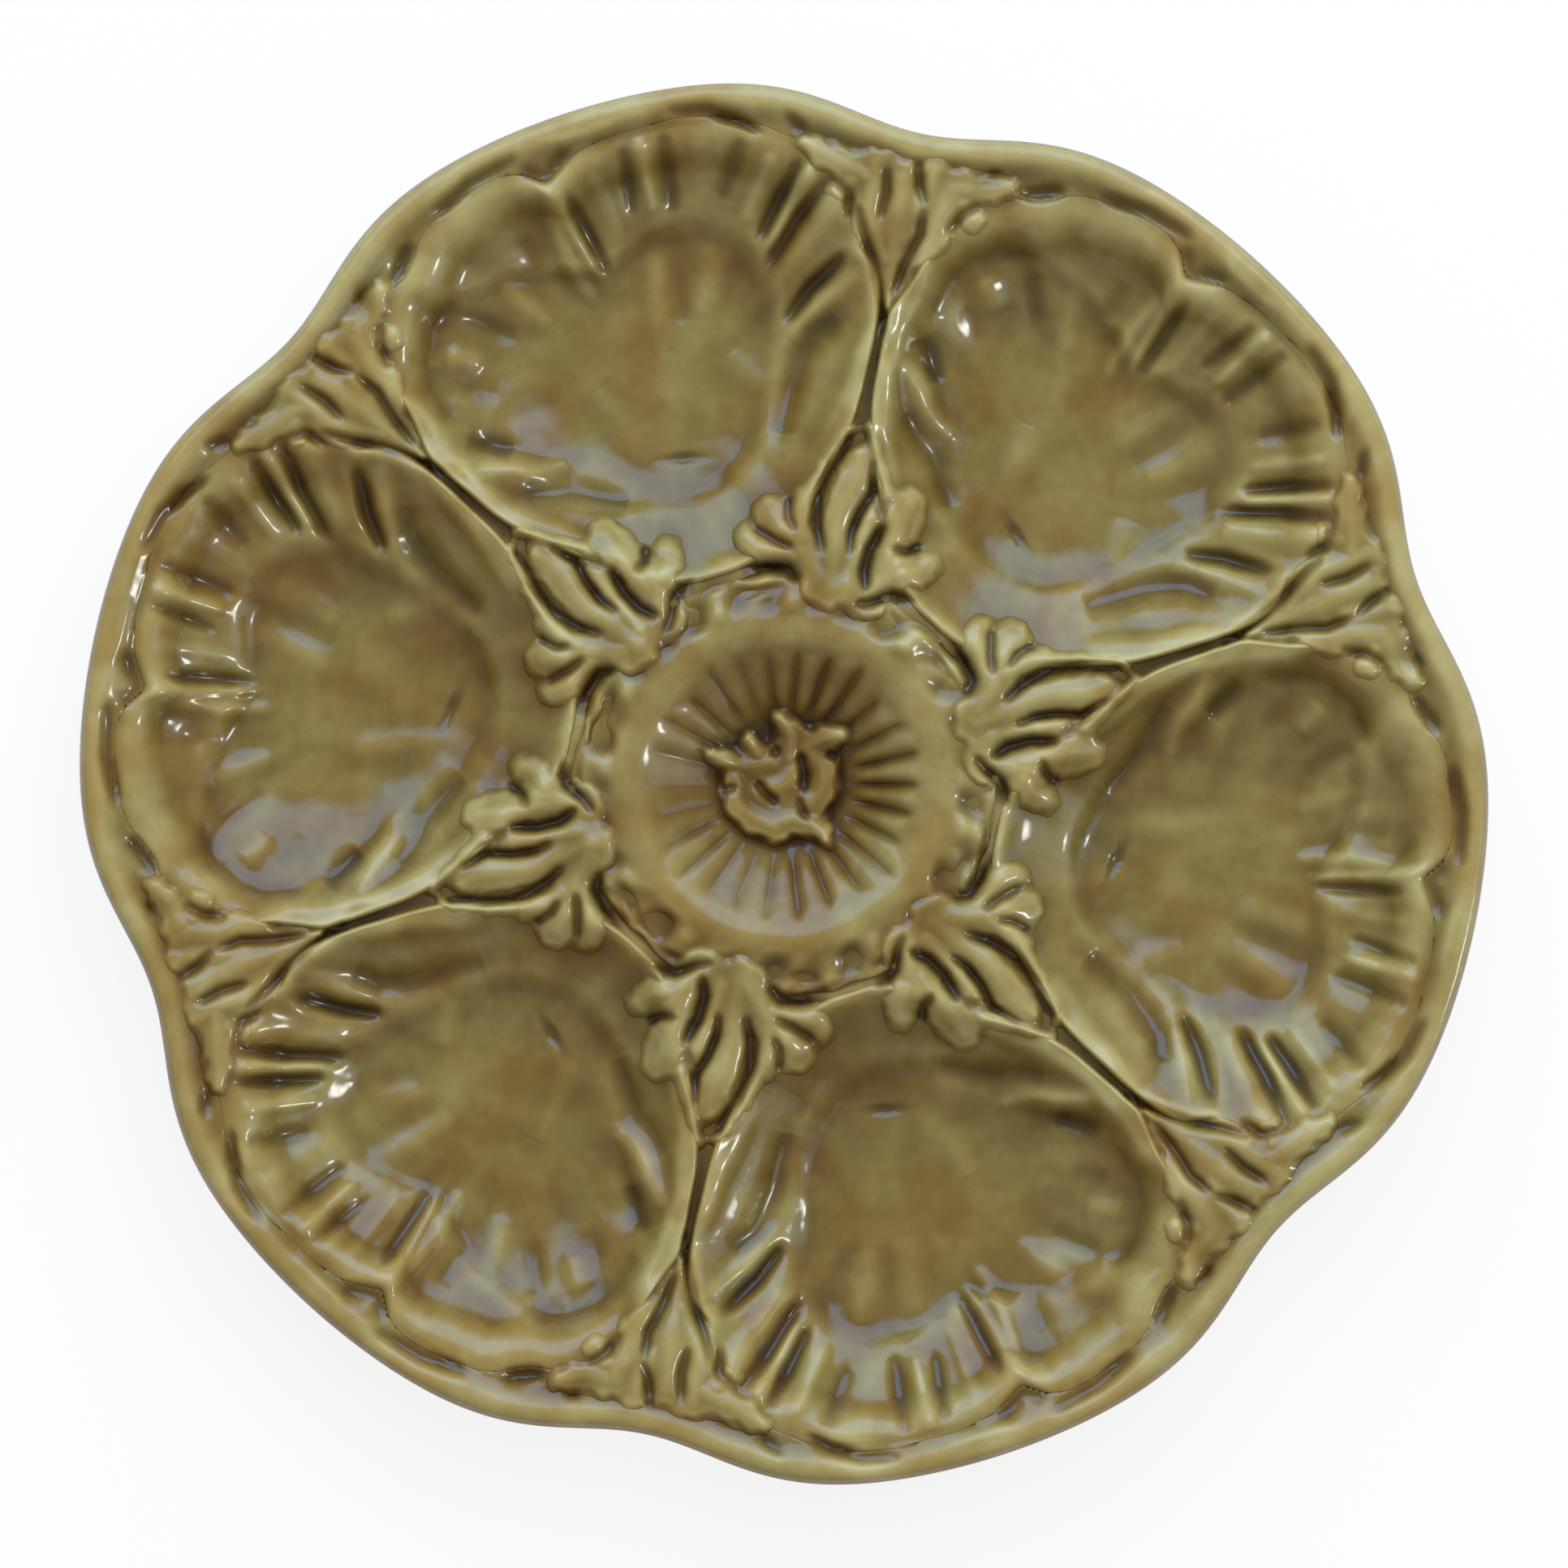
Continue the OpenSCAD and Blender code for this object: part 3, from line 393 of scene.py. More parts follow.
def to_piece(x, y, start, end):
    """Distance from points in the plane to a straight piece, and the part of the way along."""
    dx, dy = end[0] - start[0], end[1] - start[1]
    along = ((x - start[0]) * dx + (y - start[1]) * dy) / (dx * dx + dy * dy)
    u = np.clip(along, 0, 1)
    return np.hypot(x - start[0] - u * dx, y - start[1] - u * dy), u


def to_line(x, y, points):
    """Distance from points in the plane to a line through several points, and the part of
    the way along it."""
    lengths = [math.dist(p, q) for p, q in zip(points[:-1], points[1:])]
    best = np.full(np.shape(x), 1e9)
    along = np.zeros(np.shape(x))
    done = 0.0
    for start, end, length in zip(points[:-1], points[1:], lengths):
        away, u = to_piece(x, y, start, end)
        along = np.where(away < best, (done + u * length) / sum(lengths), along)
        best = np.minimum(best, away)
        done += length
    return best, along


def stroked(x, y, strokes, weight=1.0):
    """Sum of soft grooves and ridges along lines, which fade towards their ends."""
    z = np.zeros(np.shape(x))
    for height, width, points in strokes:
        away, along = to_line(x, y, points)
        fade = 0.25 + 0.75 * np.sqrt(np.clip(4 * along * (1 - along), 0, 1))
        z = z + weight * height * fade * np.exp(-(away / (width * (0.55 + 0.45 * fade))) ** 2)
    return z


def coral_cuts(x, y):
    """The slots among the corals, for points in the plate's frame."""
    z = np.zeros(np.shape(x))
    for _, here, (sx, sy) in sectors(x, y, 0.5):
        z[here] = stroked(sx, sy, CORAL_CUTS)
    return z


def ground_level(reach):
    """Height of the plain ground between the reliefs."""
    return (LEDGE + GROUND_UP + GROUND_UP_OUT * step_up(86, 106, reach)
            + GROUND_UP_IN * step_up(62, 52, reach))


def plain_z(away, reach):
    """Height of the ground and the rim in a direction counted from a shell's middle."""
    inset = rim_reach(away) - reach
    crest = step_up(BORDER_W + BORDER_FOOT, BORDER_W - BORDER_TOP, inset)
    ground = ground_level(reach)
    z = ground + (RIM_HEIGHT - ground) * crest
    return z - ROUND_H * quarter_round(np.clip((ROUND_W - inset) / ROUND_W, 0, 1))


def back_z(away, reach):
    """Height of the smooth back in a direction counted from a shell's middle."""
    out = rim_reach(away) - RIM_TUCK
    part = np.clip((out - reach) / (out - FOOT_LAND_R), 0, 1)
    return FOOT_H + (RIM_HEIGHT - RIM_T - FOOT_H) * (1 - part) ** BACK_CURVE


def shell_z(x, y):
    """Height of a shell's face in its own frame, and its share of the reach."""
    angle, share = stretched(x, y)
    plain = plain_z(np.degrees(np.arctan2(y, x)) - 90, np.hypot(x, y))
    lip = LEDGE + LIP_INNER + (LIP_OUTER - LIP_INNER) * (1 + np.sin(np.radians(angle))) / 2
    floor = FLOOR_Z + SHELL_T
    z = floor + (lip - floor) * np.minimum(share / CREST, 1) ** BOWL_CURVE
    outer = step_up(8, 30, angle) * step_up(172, 155, angle)
    roll = LIP_ROLL + LIP_RUFFLE * round_waves(angle, LIP_WAVES)
    z = z + roll * (1 - outer) * np.exp(-((share - CREST) / LIP_W) ** 2)
    bowl_edge = smooth_at(INNER, angle) / smooth_at(OUTLINE, angle)
    inside = 1 - step_up(-0.09, 0.035, share - bowl_edge)
    z = z - BOWL_DROP * inside * step_up(0.15, 0.5, share)
    z = z + (plain + 0.08 - z) * outer * step_up(FLARE_FROM, FLARE_TO, share)
    weight = 1.3 - (0.5 + 0.6 * outer) * step_up(0.92, 1.0, share)
    cuts = stroked(x, y, BORDER_CUTS)
    z = z + stroked(x, y, STROKES, weight) + cuts
    z = np.where(z > SOFT_FROM, SOFT_FROM + SOFT_BY * np.tanh((z - SOFT_FROM) / SOFT_BY), z)
    over = np.clip((share - EDGE_FROM) / (1 - EDGE_FROM), 0, 1)
    low = np.minimum(plain + cuts, z)
    return z - (z - low) * quarter_round(over), share


def dish_z(x, y):
    """Height of the dish's top outside the shells: the ground and the rim."""
    z = plain_z(from_well(x, y), np.hypot(x, y))
    for _, here, (sx, sy) in sectors(x, y):
        z[here] += stroked(sx, sy, BORDER_CUTS)
    return np.minimum(z + coral_cuts(x, y), RIM_HEIGHT)


def well_z(share):
    """Height of the well below a shell at a share of the shell's reach."""
    return FLOOR_Z + (LEDGE - 1 - FLOOR_Z) * np.minimum(share / WELL_SHARE, 1) ** 3


def under_relief(x, y):
    """Height of the dish's top: the ground and rim, sunk to wells below the shells."""
    z = dish_z(x, y)
    for _, here, (sx, sy) in sectors(x, y):
        share = stretched(sx, sy)[1]
        near_rim = step_up(95, 110, np.hypot(sx, sy))
        sunk = well_z(share) + WELL_LIFT * step_up(WELL_SHARE, SINK_TO, share) * near_rim
        z[here] = np.where(share < SINK_TO, sunk, z[here])
    return z


def wobble(x, y):
    """Slight unevenness of the hand-finished surface, which bends the reflections."""
    inset = rim_reach(from_well(x, y)) - np.hypot(x, y)
    return waves(x, y, WAVES) * step_up(0.5, 6.0, inset)


def bend(points, count):
    """Points and radii on a smooth curve through a frond's points."""
    p = np.array(points, float)
    p = np.vstack([2 * p[0] - p[1], p, 2 * p[-1] - p[-2]])
    out = []
    for i in range(1, len(p) - 2):
        out += [between(*p[i - 1:i + 3], u) for u in np.arange(count) / count]
    out.append(p[-2])
    return np.array(out)


def within(x, y, fronds):
    """How far a point lies inside the fronds' edge, softly joined where they meet, and how
    near it is to a middle line."""
    joined = np.zeros(np.shape(x))
    ridge = np.zeros(np.shape(x))
    for points in fronds:
        inside = np.full(np.shape(x), -99.0)
        path = bend(points, 4)
        for start, end in zip(path[:-1], path[1:]):
            away, u = to_piece(x, y, start, end)
            r = start[2] + (end[2] - start[2]) * u
            inside = np.maximum(inside, r - away)
            ridge = np.maximum(ridge, np.exp(-(away / (0.42 * r)) ** 2))
        joined = joined + np.exp(np.maximum(inside, -20) / JOIN)
    return JOIN * np.log(joined), ridge


def coral_lift(x, y, fronds, cuts, tall):
    """Height of the coral over what it lies on: soft sides, a rounded back and its slots."""
    inside, ridge = within(x, y, fronds)
    inside = inside + waves(x, y, RAGGED) * step_up(-3, 0, inside)
    over = tall * (0.72 * step_up(-0.2, 1.6, inside) + 0.28 * ridge) + stroked(x, y, cuts)
    return np.where(inside > 0, over, np.minimum(over, 2.2 * np.maximum(inside, -1.2)))


def wreath_out(a):
    """Outer reach of the ring, which spreads towards the coral sprays."""
    return WREATH_OUT + WREATH_SWELL * (1 - np.cos(np.radians(SECTORS * (a - WELL_ANGLE)))) / 2


def sauce_rise(reach):
    """Height of the sauce well's wall, straight with soft ends, up to the ring's crest."""
    floor = FLOOR_Z + SAUCE_T
    u = np.clip((reach - SAUCE_FLAT_R) / (CREST_R - SAUCE_FLAT_R), 0, 1)
    low, high = np.minimum(u, SAUCE_BEND) ** 2, np.minimum(1 - u, SAUCE_BEND) ** 2
    rise = (low / (2 * SAUCE_BEND) + np.clip(u - SAUCE_BEND, 0, 1 - 2 * SAUCE_BEND)
            + (SAUCE_BEND ** 2 - high) / (2 * SAUCE_BEND)) / (1 - SAUCE_BEND)
    return floor + (LEDGE + WREATH_H - floor) * rise


def lumps(a, reach):
    """Uneven lumps of the ring's twigs, between about -1 and 1."""
    rows = [np.sin(np.radians(count * a + twist * reach * 12 + start))
            for count, twist, start in LUMP_WAVES]
    return sum(rows) / len(rows) * 1.6


def wreath_z(x, y):
    """Height of the ring, or zero outside it: a smooth crest, falling to lumpy twigs."""
    a = np.degrees(np.arctan2(y, x))
    reach = np.hypot(x, y)
    lump = lumps(a, reach)
    out = wreath_out(a) + 0.5 * lump
    outer = np.clip((reach - CREST_R) / (out - CREST_R), 0, 1)
    twigs = step_up(0.1, 0.45, outer) * step_up(1.0, 0.8, outer)
    z = LEDGE + WREATH_H * (1 - 0.36 * step_up(0.05, 0.7, outer)) + LUMP_H * lump * twigs
    z = z - (z - ground_level(reach) - 0.02) * step_up(0.72, 1.0, outer)
    groove = GROOVE_R + round_waves(a, GROOVE_WAVES)
    depth = GROOVE_D * step_up(-0.5, 0.8, round_waves(a, GROOVE_GAPS))
    depth = depth * step_up(-0.6, 0.5, np.cos(np.radians(SECTORS * (a - WELL_ANGLE))))
    z = z - depth * np.exp(-((reach - groove) / GROOVE_W) ** 2) + coral_cuts(x, y)
    z = np.where(reach < CREST_R, sauce_rise(reach) + 0.01, z)
    return np.where((reach > WREATH_FROM) & (reach < out), z, 0)


def sauce_z(x, y):
    """Height of the sauce well's lining, with small flutes on its wall."""
    a = np.degrees(np.arctan2(y, x))
    reach = np.hypot(x, y)
    ends = FLUTE_END + round_waves(a, FLUTE_ENDS)
    band = step_up(11.0, 16.0, reach) * step_up(ends + 1.2, ends - 1.6, reach)
    flute = np.abs(np.sin(np.radians(a * 13 + 14 * np.sin(np.radians(3 * a + 40))))) ** 0.9 - 0.6
    uneven = 0.66 + round_waves(a, FLUTE_WAVES)
    return sauce_rise(reach) + FLUTE_H * band * uneven * flute


def base_z(x, y):
    """Height of the glazed face without its corals."""
    z = dish_z(x, y)
    for _, here, (sx, sy) in sectors(x, y):
        top, share = shell_z(sx, sy)
        z[here] = np.where(share < 1, top + coral_cuts(x[here], y[here]), z[here])
    z = np.where(np.hypot(x, y) < SAUCE_R, sauce_z(x, y), z)
    return np.maximum(z, wreath_z(x, y)) + wobble(x, y)


def blurred(field, sigma):
    """Field smoothed by a round bell of that width in millimetres."""
    f = np.fft.fftfreq(CELLS, PITCH)
    bell = np.exp(-2 * (math.pi * sigma) ** 2 * (f[:, None] ** 2 + f[None, :] ** 2))
    return np.real(np.fft.ifft2(np.fft.fft2(field) * bell))


def map_points():
    """Places of the map's cells."""
    line = (np.arange(CELLS) + 0.5) * PITCH - MAP_REACH
    return np.meshgrid(line, line)


def soft_base():
    """The face without corals, and the same smoothed, on which the corals lie."""
    x, y = map_points()
    z = base_z(x, y)
    z[np.hypot(x, y) > rim_reach(from_well(x, y))] = RIM_HEIGHT - 3.0
    return z, blurred(z, 1.3)


def streaks(x, y):
    """Uneven thickness of the glaze, drawn out from the middle of each shell."""
    t = np.zeros(np.shape(x))
    for k, here, (sx, sy) in sectors(x, y):
        angle, share = stretched(sx, sy + 8)
        turn = np.radians(angle)
        line = (np.sin(11 * turn + 1.3 * k) + 0.8 * np.sin(19 * turn - 2.1 * k + 3 * share)
                + 0.7 * np.sin(31 * turn + k))
        t[here] = 0.022 * line * step_up(0.2, 0.55, share) * step_up(1.0, 0.8, share)
    return t


def glaze_map(base, soft):
    """How thick the glaze lies: thin on edges, thick in grooves and hollows."""
    x, y = map_points()
    z = base.copy()
    for _, here, (sx, sy) in sectors(x, y, 0.5):
        for fronds, tall in ((SPRAY, CORAL_H), (CLUMP, CLUMP_H)):
            lift = coral_lift(sx, sy, fronds, CORAL_CUTS, tall)
            z[here] = np.where(lift > 0, np.maximum(z[here], soft[here] + lift), z[here])
    lift = coral_lift(x, y, KNOT, KNOT_CUTS, KNOT_H)
    z = np.where(lift > 0, soft + lift, z)
    thick = PLAIN_GLAZE + sum(weight * (blurred(z, width) - z) for width, weight in HOLLOWS)
    reach = np.hypot(x, y)
    thick = thick + streaks(x, y) + 0.06 * step_up(26, 16, reach)
    thick = thick - 0.05 * step_up(90, 104, reach) + 0.05 * step_up(116, 121, reach)
    return np.clip(blurred(thick, 0.3), 0, 1)


def map_at(field, x, y):
    """Value of a map at points of the plane, between its cells."""
    u = np.clip((np.asarray(x) + MAP_REACH) / PITCH - 0.5, 0, CELLS - 1.001)
    v = np.clip((np.asarray(y) + MAP_REACH) / PITCH - 0.5, 0, CELLS - 1.001)
    i, j = u.astype(int), v.astype(int)
    fu, fv = u - i, v - j
    return ((field[j, i] * (1 - fu) + field[j, i + 1] * fu) * (1 - fv)
            + (field[j + 1, i] * (1 - fu) + field[j + 1, i + 1] * fu) * fv)


BASE, SOFT_BASE = soft_base()
GLAZE = glaze_map(BASE, SOFT_BASE)


def glaze_at(x, y):
    """Glaze thickness at points of the plane."""
    return map_at(GLAZE, x, y)


def warmth(x, y):
    """How amber the glaze is: in the sauce well, on parts of the ring, along the rim, and as
    painted warm light towards the lower left of the plate."""
    a, reach = np.arctan2(y, x), np.hypot(x, y)
    pit = 0.85 * step_up(27.5, 15, reach)
    ring = step_up(25, 28, reach) * step_up(36, 31, reach)
    ring = 0.7 * ring * np.clip(0.3 + 0.6 * np.sin(a) * np.cos(5 * a + 1), 0, 1)
    rim = 0.35 * step_up(119, 124, reach)
    # Painted warm light: the glaze is made more amber towards the lower left and less amber
    # towards the upper right.
    painted_warm_light = 0.32 * np.clip((-0.85 * x - 0.4 * y) / 100, -1, 1)
    return pit + ring + rim + painted_warm_light


def make_mesh(name, points, faces, glaze):
    """Mesh object from points in millimetres, with its glaze as named attributes."""
    points = np.asarray(points)
    mesh = bpy.data.meshes.new(name)
    mesh.from_pydata((points * MM).tolist(), [], faces)
    mesh.update()
    mesh.polygons.foreach_set("use_smooth", [True] * len(mesh.polygons))
    for key, values in (("glaze", glaze), ("warm", warmth(points[:, 0], points[:, 1]))):
        attribute = mesh.attributes.new(key, "FLOAT", "POINT")
        attribute.data.foreach_set("value", np.asarray(values, np.float32))
    obj = bpy.data.objects.new(name, mesh)
    bpy.context.collection.objects.link(obj)
    return obj


def ring_faces(first, second, count):
    """Quads between two rings of points, given by their first numbers."""
    i = np.arange(count)
    j = (i + 1) % count
    return np.column_stack([first + i, second + i, second + j, first + j]).tolist()


def stacked(rings, start=None, end=None):
    """Points and faces of rings of one size, with a middle point at either end."""
    count = len(rings[0])
    points = np.vstack(rings)
    faces = []
    for r in range(len(rings) - 1):
        faces += ring_faces(r * count, (r + 1) * count, count)
    last = (len(rings) - 1) * count
    if start is not None:
        points = np.vstack([points, start])
        faces += [[len(points) - 1, i, (i + 1) % count] for i in range(count)]
    if end is not None:
        points = np.vstack([points, end])
        faces += [[len(points) - 1, last + (i + 1) % count, last + i] for i in range(count)]
    return points, faces


def finish_piece(obj, material, slot, *nodes):
    """Gives a piece its material, hangs it from the root and hides the CAD parts it stands for."""
    obj.data.materials.append(material)
    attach(obj, "root")
    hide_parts(*nodes)
    return obj


def dish_piece(material):
    """The dish: ledge, grooves and rim on top, and the smooth back below."""
    count = DISH_AROUND
    away = np.arange(count) * 360 / count
    reach = rim_reach(away)
    ca, sa = np.cos(np.radians(away + WELL_ANGLE)), np.sin(np.radians(away + WELL_ANGLE))
    pit = SAUCE_R * PIT_SHARE
    rings = [np.column_stack([pit * ca, pit * sa, np.full(count, FLOOR_Z)])]
    glaze = [np.full(count, 0.5)]
    shares = np.concatenate([np.linspace(0, 0.58, 24, endpoint=False), np.linspace(0.58, 1, 58)])
    for share in shares:
        r = SAUCE_R + (reach - SAUCE_R) * share
        x, y = r * ca, r * sa
        z = np.minimum(under_relief(x, y) + wobble(x, y), RIM_HEIGHT)
        rings.append(np.column_stack([x, y, z]))
        glaze.append(glaze_at(x, y))
    low = RIM_HEIGHT - RIM_T
    top = rings[-1][:, 2]
    for u in np.linspace(0, 1, 8)[1:]:
        turn = math.pi / 2 * u
        r = reach - RIM_TUCK * (1 - math.cos(turn))
        rings.append(np.column_stack([r * ca, r * sa, top - (top - low) * math.sin(turn)]))
        glaze.append(np.full(count, 0.30 + 0.12 * u))
    for u in np.linspace(0, 1, 24)[1:]:
        r = (reach - RIM_TUCK) + (FOOT_LAND_R - reach + RIM_TUCK) * u
        rings.append(np.column_stack([r * ca, r * sa, back_z(away, r)]))
        glaze.append(np.full(count, 0.42))
    points, faces = stacked(rings, start=[0, 0, FLOOR_Z], end=[0, 0, FOOT_H])
    obj = make_mesh("plate_dish", points, faces, np.concatenate(glaze + [[0.5, 0.5]]))
    return finish_piece(obj, material, "body_glaze", "plate_base")


def shell_piece(k, material):
    """One shell relief: a fine face in the shell's own directions, and a plain underside."""
    count = SHELL_AROUND
    angle = np.arange(count) * 360 / count
    outline = smooth_at(OUTLINE, angle)
    ca, sa = np.cos(np.radians(angle)), np.sin(np.radians(angle))
    tall = np.where(sa > 0, SHELL_UP, SHELL_DOWN)
    turn = WELL_ANGLE - 90 + SECTOR * k

    def at(share):
        return outline * ca * share * HALF_W, CENTRE_R + outline * sa * share * tall

    shares = [np.linspace(0.02, 0.95, 70), np.linspace(0.958, 0.9985, 14), [1.0]]
    rings = []
    for share in np.concatenate(shares):
        x, y = at(share)
        px, py = spun(x, y, turn)
        z = shell_z(x, y)[0] + wobble(px, py) + coral_cuts(px, py)
        rings.append(np.column_stack([x, y, np.minimum(z, RIM_HEIGHT)]))
    rings[-1][:, 2] = np.minimum(LEDGE + 0.6, rings[-2][:, 2] - 0.5)
    middle = float(shell_z(np.array([0.0]), np.array([CENTRE_R]))[0][0])
    for share in (WELL_SHARE, 0.7, 0.37):
        x, y = at(share)
        back = back_z(np.degrees(np.arctan2(y, x)) - 90, np.hypot(x, y))
        z = np.maximum(well_z(share) - UNDER_DEPTH, back + BACK_T)
        rings.append(np.column_stack([x, y, z]))
    points, faces = stacked(rings, start=[0, CENTRE_R, middle],
                            end=[0, CENTRE_R, FLOOR_Z - UNDER_DEPTH])
    x, y = spun(points[:, 0], points[:, 1], turn)
    points = np.column_stack([x, y, points[:, 2]])
    obj = make_mesh(f"shell_relief_{k + 1}", points, faces, glaze_at(x, y))
    return finish_piece(obj, material, "shell_glaze", f"oyster_shell_{k + 1}")


def sauce_piece(material):
    """The fluted lining of the sauce well."""
    count = SAUCE_AROUND
    a = np.radians(np.arange(count) * 360 / count)
    bottom = FLOOR_Z + 0.3
    rings = []
    for r in np.linspace(0.5, SAUCE_R + 0.3, 64):
        x, y = r * np.cos(a), r * np.sin(a)
        rings.append(np.column_stack([x, y, sauce_z(x, y) + wobble(x, y)]))
    for share, z in ((1, LEDGE - 1), (PIT_SHARE, bottom)):
        r = SAUCE_R * share
        rings.append(np.column_stack([r * np.cos(a), r * np.sin(a), np.full(count, z)]))
    points, faces = stacked(rings, start=[0, 0, rings[0][0, 2]], end=[0, 0, bottom])
    obj = make_mesh("sauce_lining", points, faces, glaze_at(points[:, 0], points[:, 1]))
    return finish_piece(obj, material, "sauce_glaze", "sauce_well")


def wreath_piece(material):
    """The ring of twigs: a closed band on the ledge."""
    count = WREATH_AROUND
    a = np.arange(count) * 360 / count
    ca, sa = np.cos(np.radians(a)), np.sin(np.radians(a))
    out = wreath_out(a) + 0.5 * lumps(a, wreath_out(a))
    rings = []
    for across in np.linspace(0, 1, 40):
        eased = 0.5 - 0.5 * math.cos(math.pi * across)
        r = WREATH_FROM + (out - WREATH_FROM) * eased
        x, y = r * ca, r * sa
        z = np.full(count, LEDGE - 0.3)
        if 0 < across < 1:
            z = np.maximum(wreath_z(x, y), LEDGE - 0.2) + wobble(x, y)
        rings.append(np.column_stack([x, y, z]))
    points, faces = stacked(rings)
    faces += ring_faces((len(rings) - 1) * count, 0, count)
    obj = make_mesh("wreath_ring", points, faces, glaze_at(points[:, 0], points[:, 1]))
    return finish_piece(obj, material, "coral_glaze", "coral_wreath")


def filled(keep):
    """Cells to keep, with no two that touch at a corner alone."""
    for _ in range(4):
        a, b, c, d = keep[:-1, :-1], keep[1:, 1:], keep[1:, :-1], keep[:-1, 1:]
        slant = (a & b & ~c & ~d) | (c & d & ~a & ~b)
        if not slant.any():
            break
        for part in (a, b, c, d):
            part |= slant
    return keep


def sheet_faces(keep, number):
    """Faces of a closed sheet over the cells to keep. Number counts the points of its top,
    and those of its bottom follow after them."""
    count = number.size
    rows, columns = keep.shape
    faces = []
    for i, j in zip(*np.nonzero(keep)):
        corners = ((i, j), (i, j + 1), (i + 1, j + 1), (i + 1, j))
        a, b, c, d = (int(number[corner]) for corner in corners)
        faces.append((a, b, c, d))
        faces.append((a + count, d + count, c + count, b + count))
        sides = ((i > 0 and keep[i - 1, j], a, b),
                 (j + 1 < columns and keep[i, j + 1], b, c),
                 (i + 1 < rows and keep[i + 1, j], c, d),
                 (j > 0 and keep[i, j - 1], d, a))
        for joined, p, q in sides:
            if not joined:
                faces.append((p, p + count, q + count, q))
    return faces


def coral_piece(name, fronds, cuts, box, turn, tall, node, material):
    """Carved coral: a closed sheet over the fronds, whose edge lies hidden in the ground."""
    x0, y0, x1, y1 = box
    x, y = np.meshgrid(np.arange(x0, x1, CORAL_PITCH), np.arange(y0, y1, CORAL_PITCH))
    lift = coral_lift(x, y, fronds, cuts, tall)
    px, py = spun(x, y, turn)
    top = np.minimum(map_at(SOFT_BASE, px, py) + lift, CORAL_TOP)
    deep = lift < -CORAL_SINK
    keep = filled(~(deep[:-1, :-1] & deep[1:, :-1] & deep[:-1, 1:] & deep[1:, 1:]))
    faces = sheet_faces(keep, np.arange(x.size).reshape(x.shape))
    used = np.unique(np.array([n for face in faces for n in face]))
    new = np.full(2 * x.size, -1)
    new[used] = np.arange(len(used))
    faces = [tuple(int(new[n]) for n in face) for face in faces]
    levels = (top, top - CORAL_SHEET)
    points = [np.column_stack([px.ravel(), py.ravel(), z.ravel()]) for z in levels]
    points = np.vstack(points)[used]
    obj = make_mesh(name, points, faces, glaze_at(points[:, 0], points[:, 1]))
    return finish_piece(obj, material, "coral_glaze", node)


def node_at(tree, kind, x, y, **values):
    """Shader node with some of its settings."""
    node = tree.nodes.new(kind)
    node.location = (x, y)
    for key, value in values.items():
        setattr(node, key, value)
    return node


def noise_at(tree, place, x, y, scale, detail, roughness=0.5):
    """Noise over the object's own coordinates."""
    node = node_at(tree, "ShaderNodeTexNoise", x, y)
    node.inputs["Scale"].default_value = scale
    node.inputs["Detail"].default_value = detail
    node.inputs["Roughness"].default_value = roughness
    tree.links.new(place.outputs["Object"], node.inputs["Vector"])
    return node


def added_at(tree, x, y, source, factor, base):
    """Output of a node that adds a source times a factor to a base."""
    node = node_at(tree, "ShaderNodeMath", x, y, operation="MULTIPLY_ADD")
    node.inputs[1].default_value = factor
    tree.links.new(source, node.inputs[0])
    tree.links.new(base, node.inputs[2])
    return node.outputs[0]


# Colours of the glaze from thin to thick, as linear values: the olive and the amber one
OLIVE_STEPS = [
    (0.00, (0.470, 0.400, 0.172)),
    (0.20, (0.335, 0.268, 0.093)),
    (0.42, (0.210, 0.155, 0.042)),
    (0.64, (0.124, 0.084, 0.021)),
    (0.84, (0.072, 0.046, 0.014)),
    (1.00, (0.045, 0.027, 0.011)),
]
AMBER_STEPS = [
    (0.00, (0.390, 0.285, 0.095)),
    (0.20, (0.285, 0.190, 0.050)),
    (0.42, (0.190, 0.110, 0.024)),
    (0.64, (0.112, 0.059, 0.013)),
    (0.84, (0.064, 0.034, 0.010)),
    (1.00, (0.042, 0.022, 0.008)),
]


def colour_ramp(tree, steps, x, y):
    """Colour ramp node with these steps."""
    ramp = node_at(tree, "ShaderNodeValToRGB", x, y)
    ramp.color_ramp.interpolation = "B_SPLINE"
    while len(ramp.color_ramp.elements) < len(steps):
        ramp.color_ramp.elements.new(0.5)
    for element, (position, colour) in zip(ramp.color_ramp.elements, steps):
        element.position = position
        element.color = (*colour, 1)
    return ramp


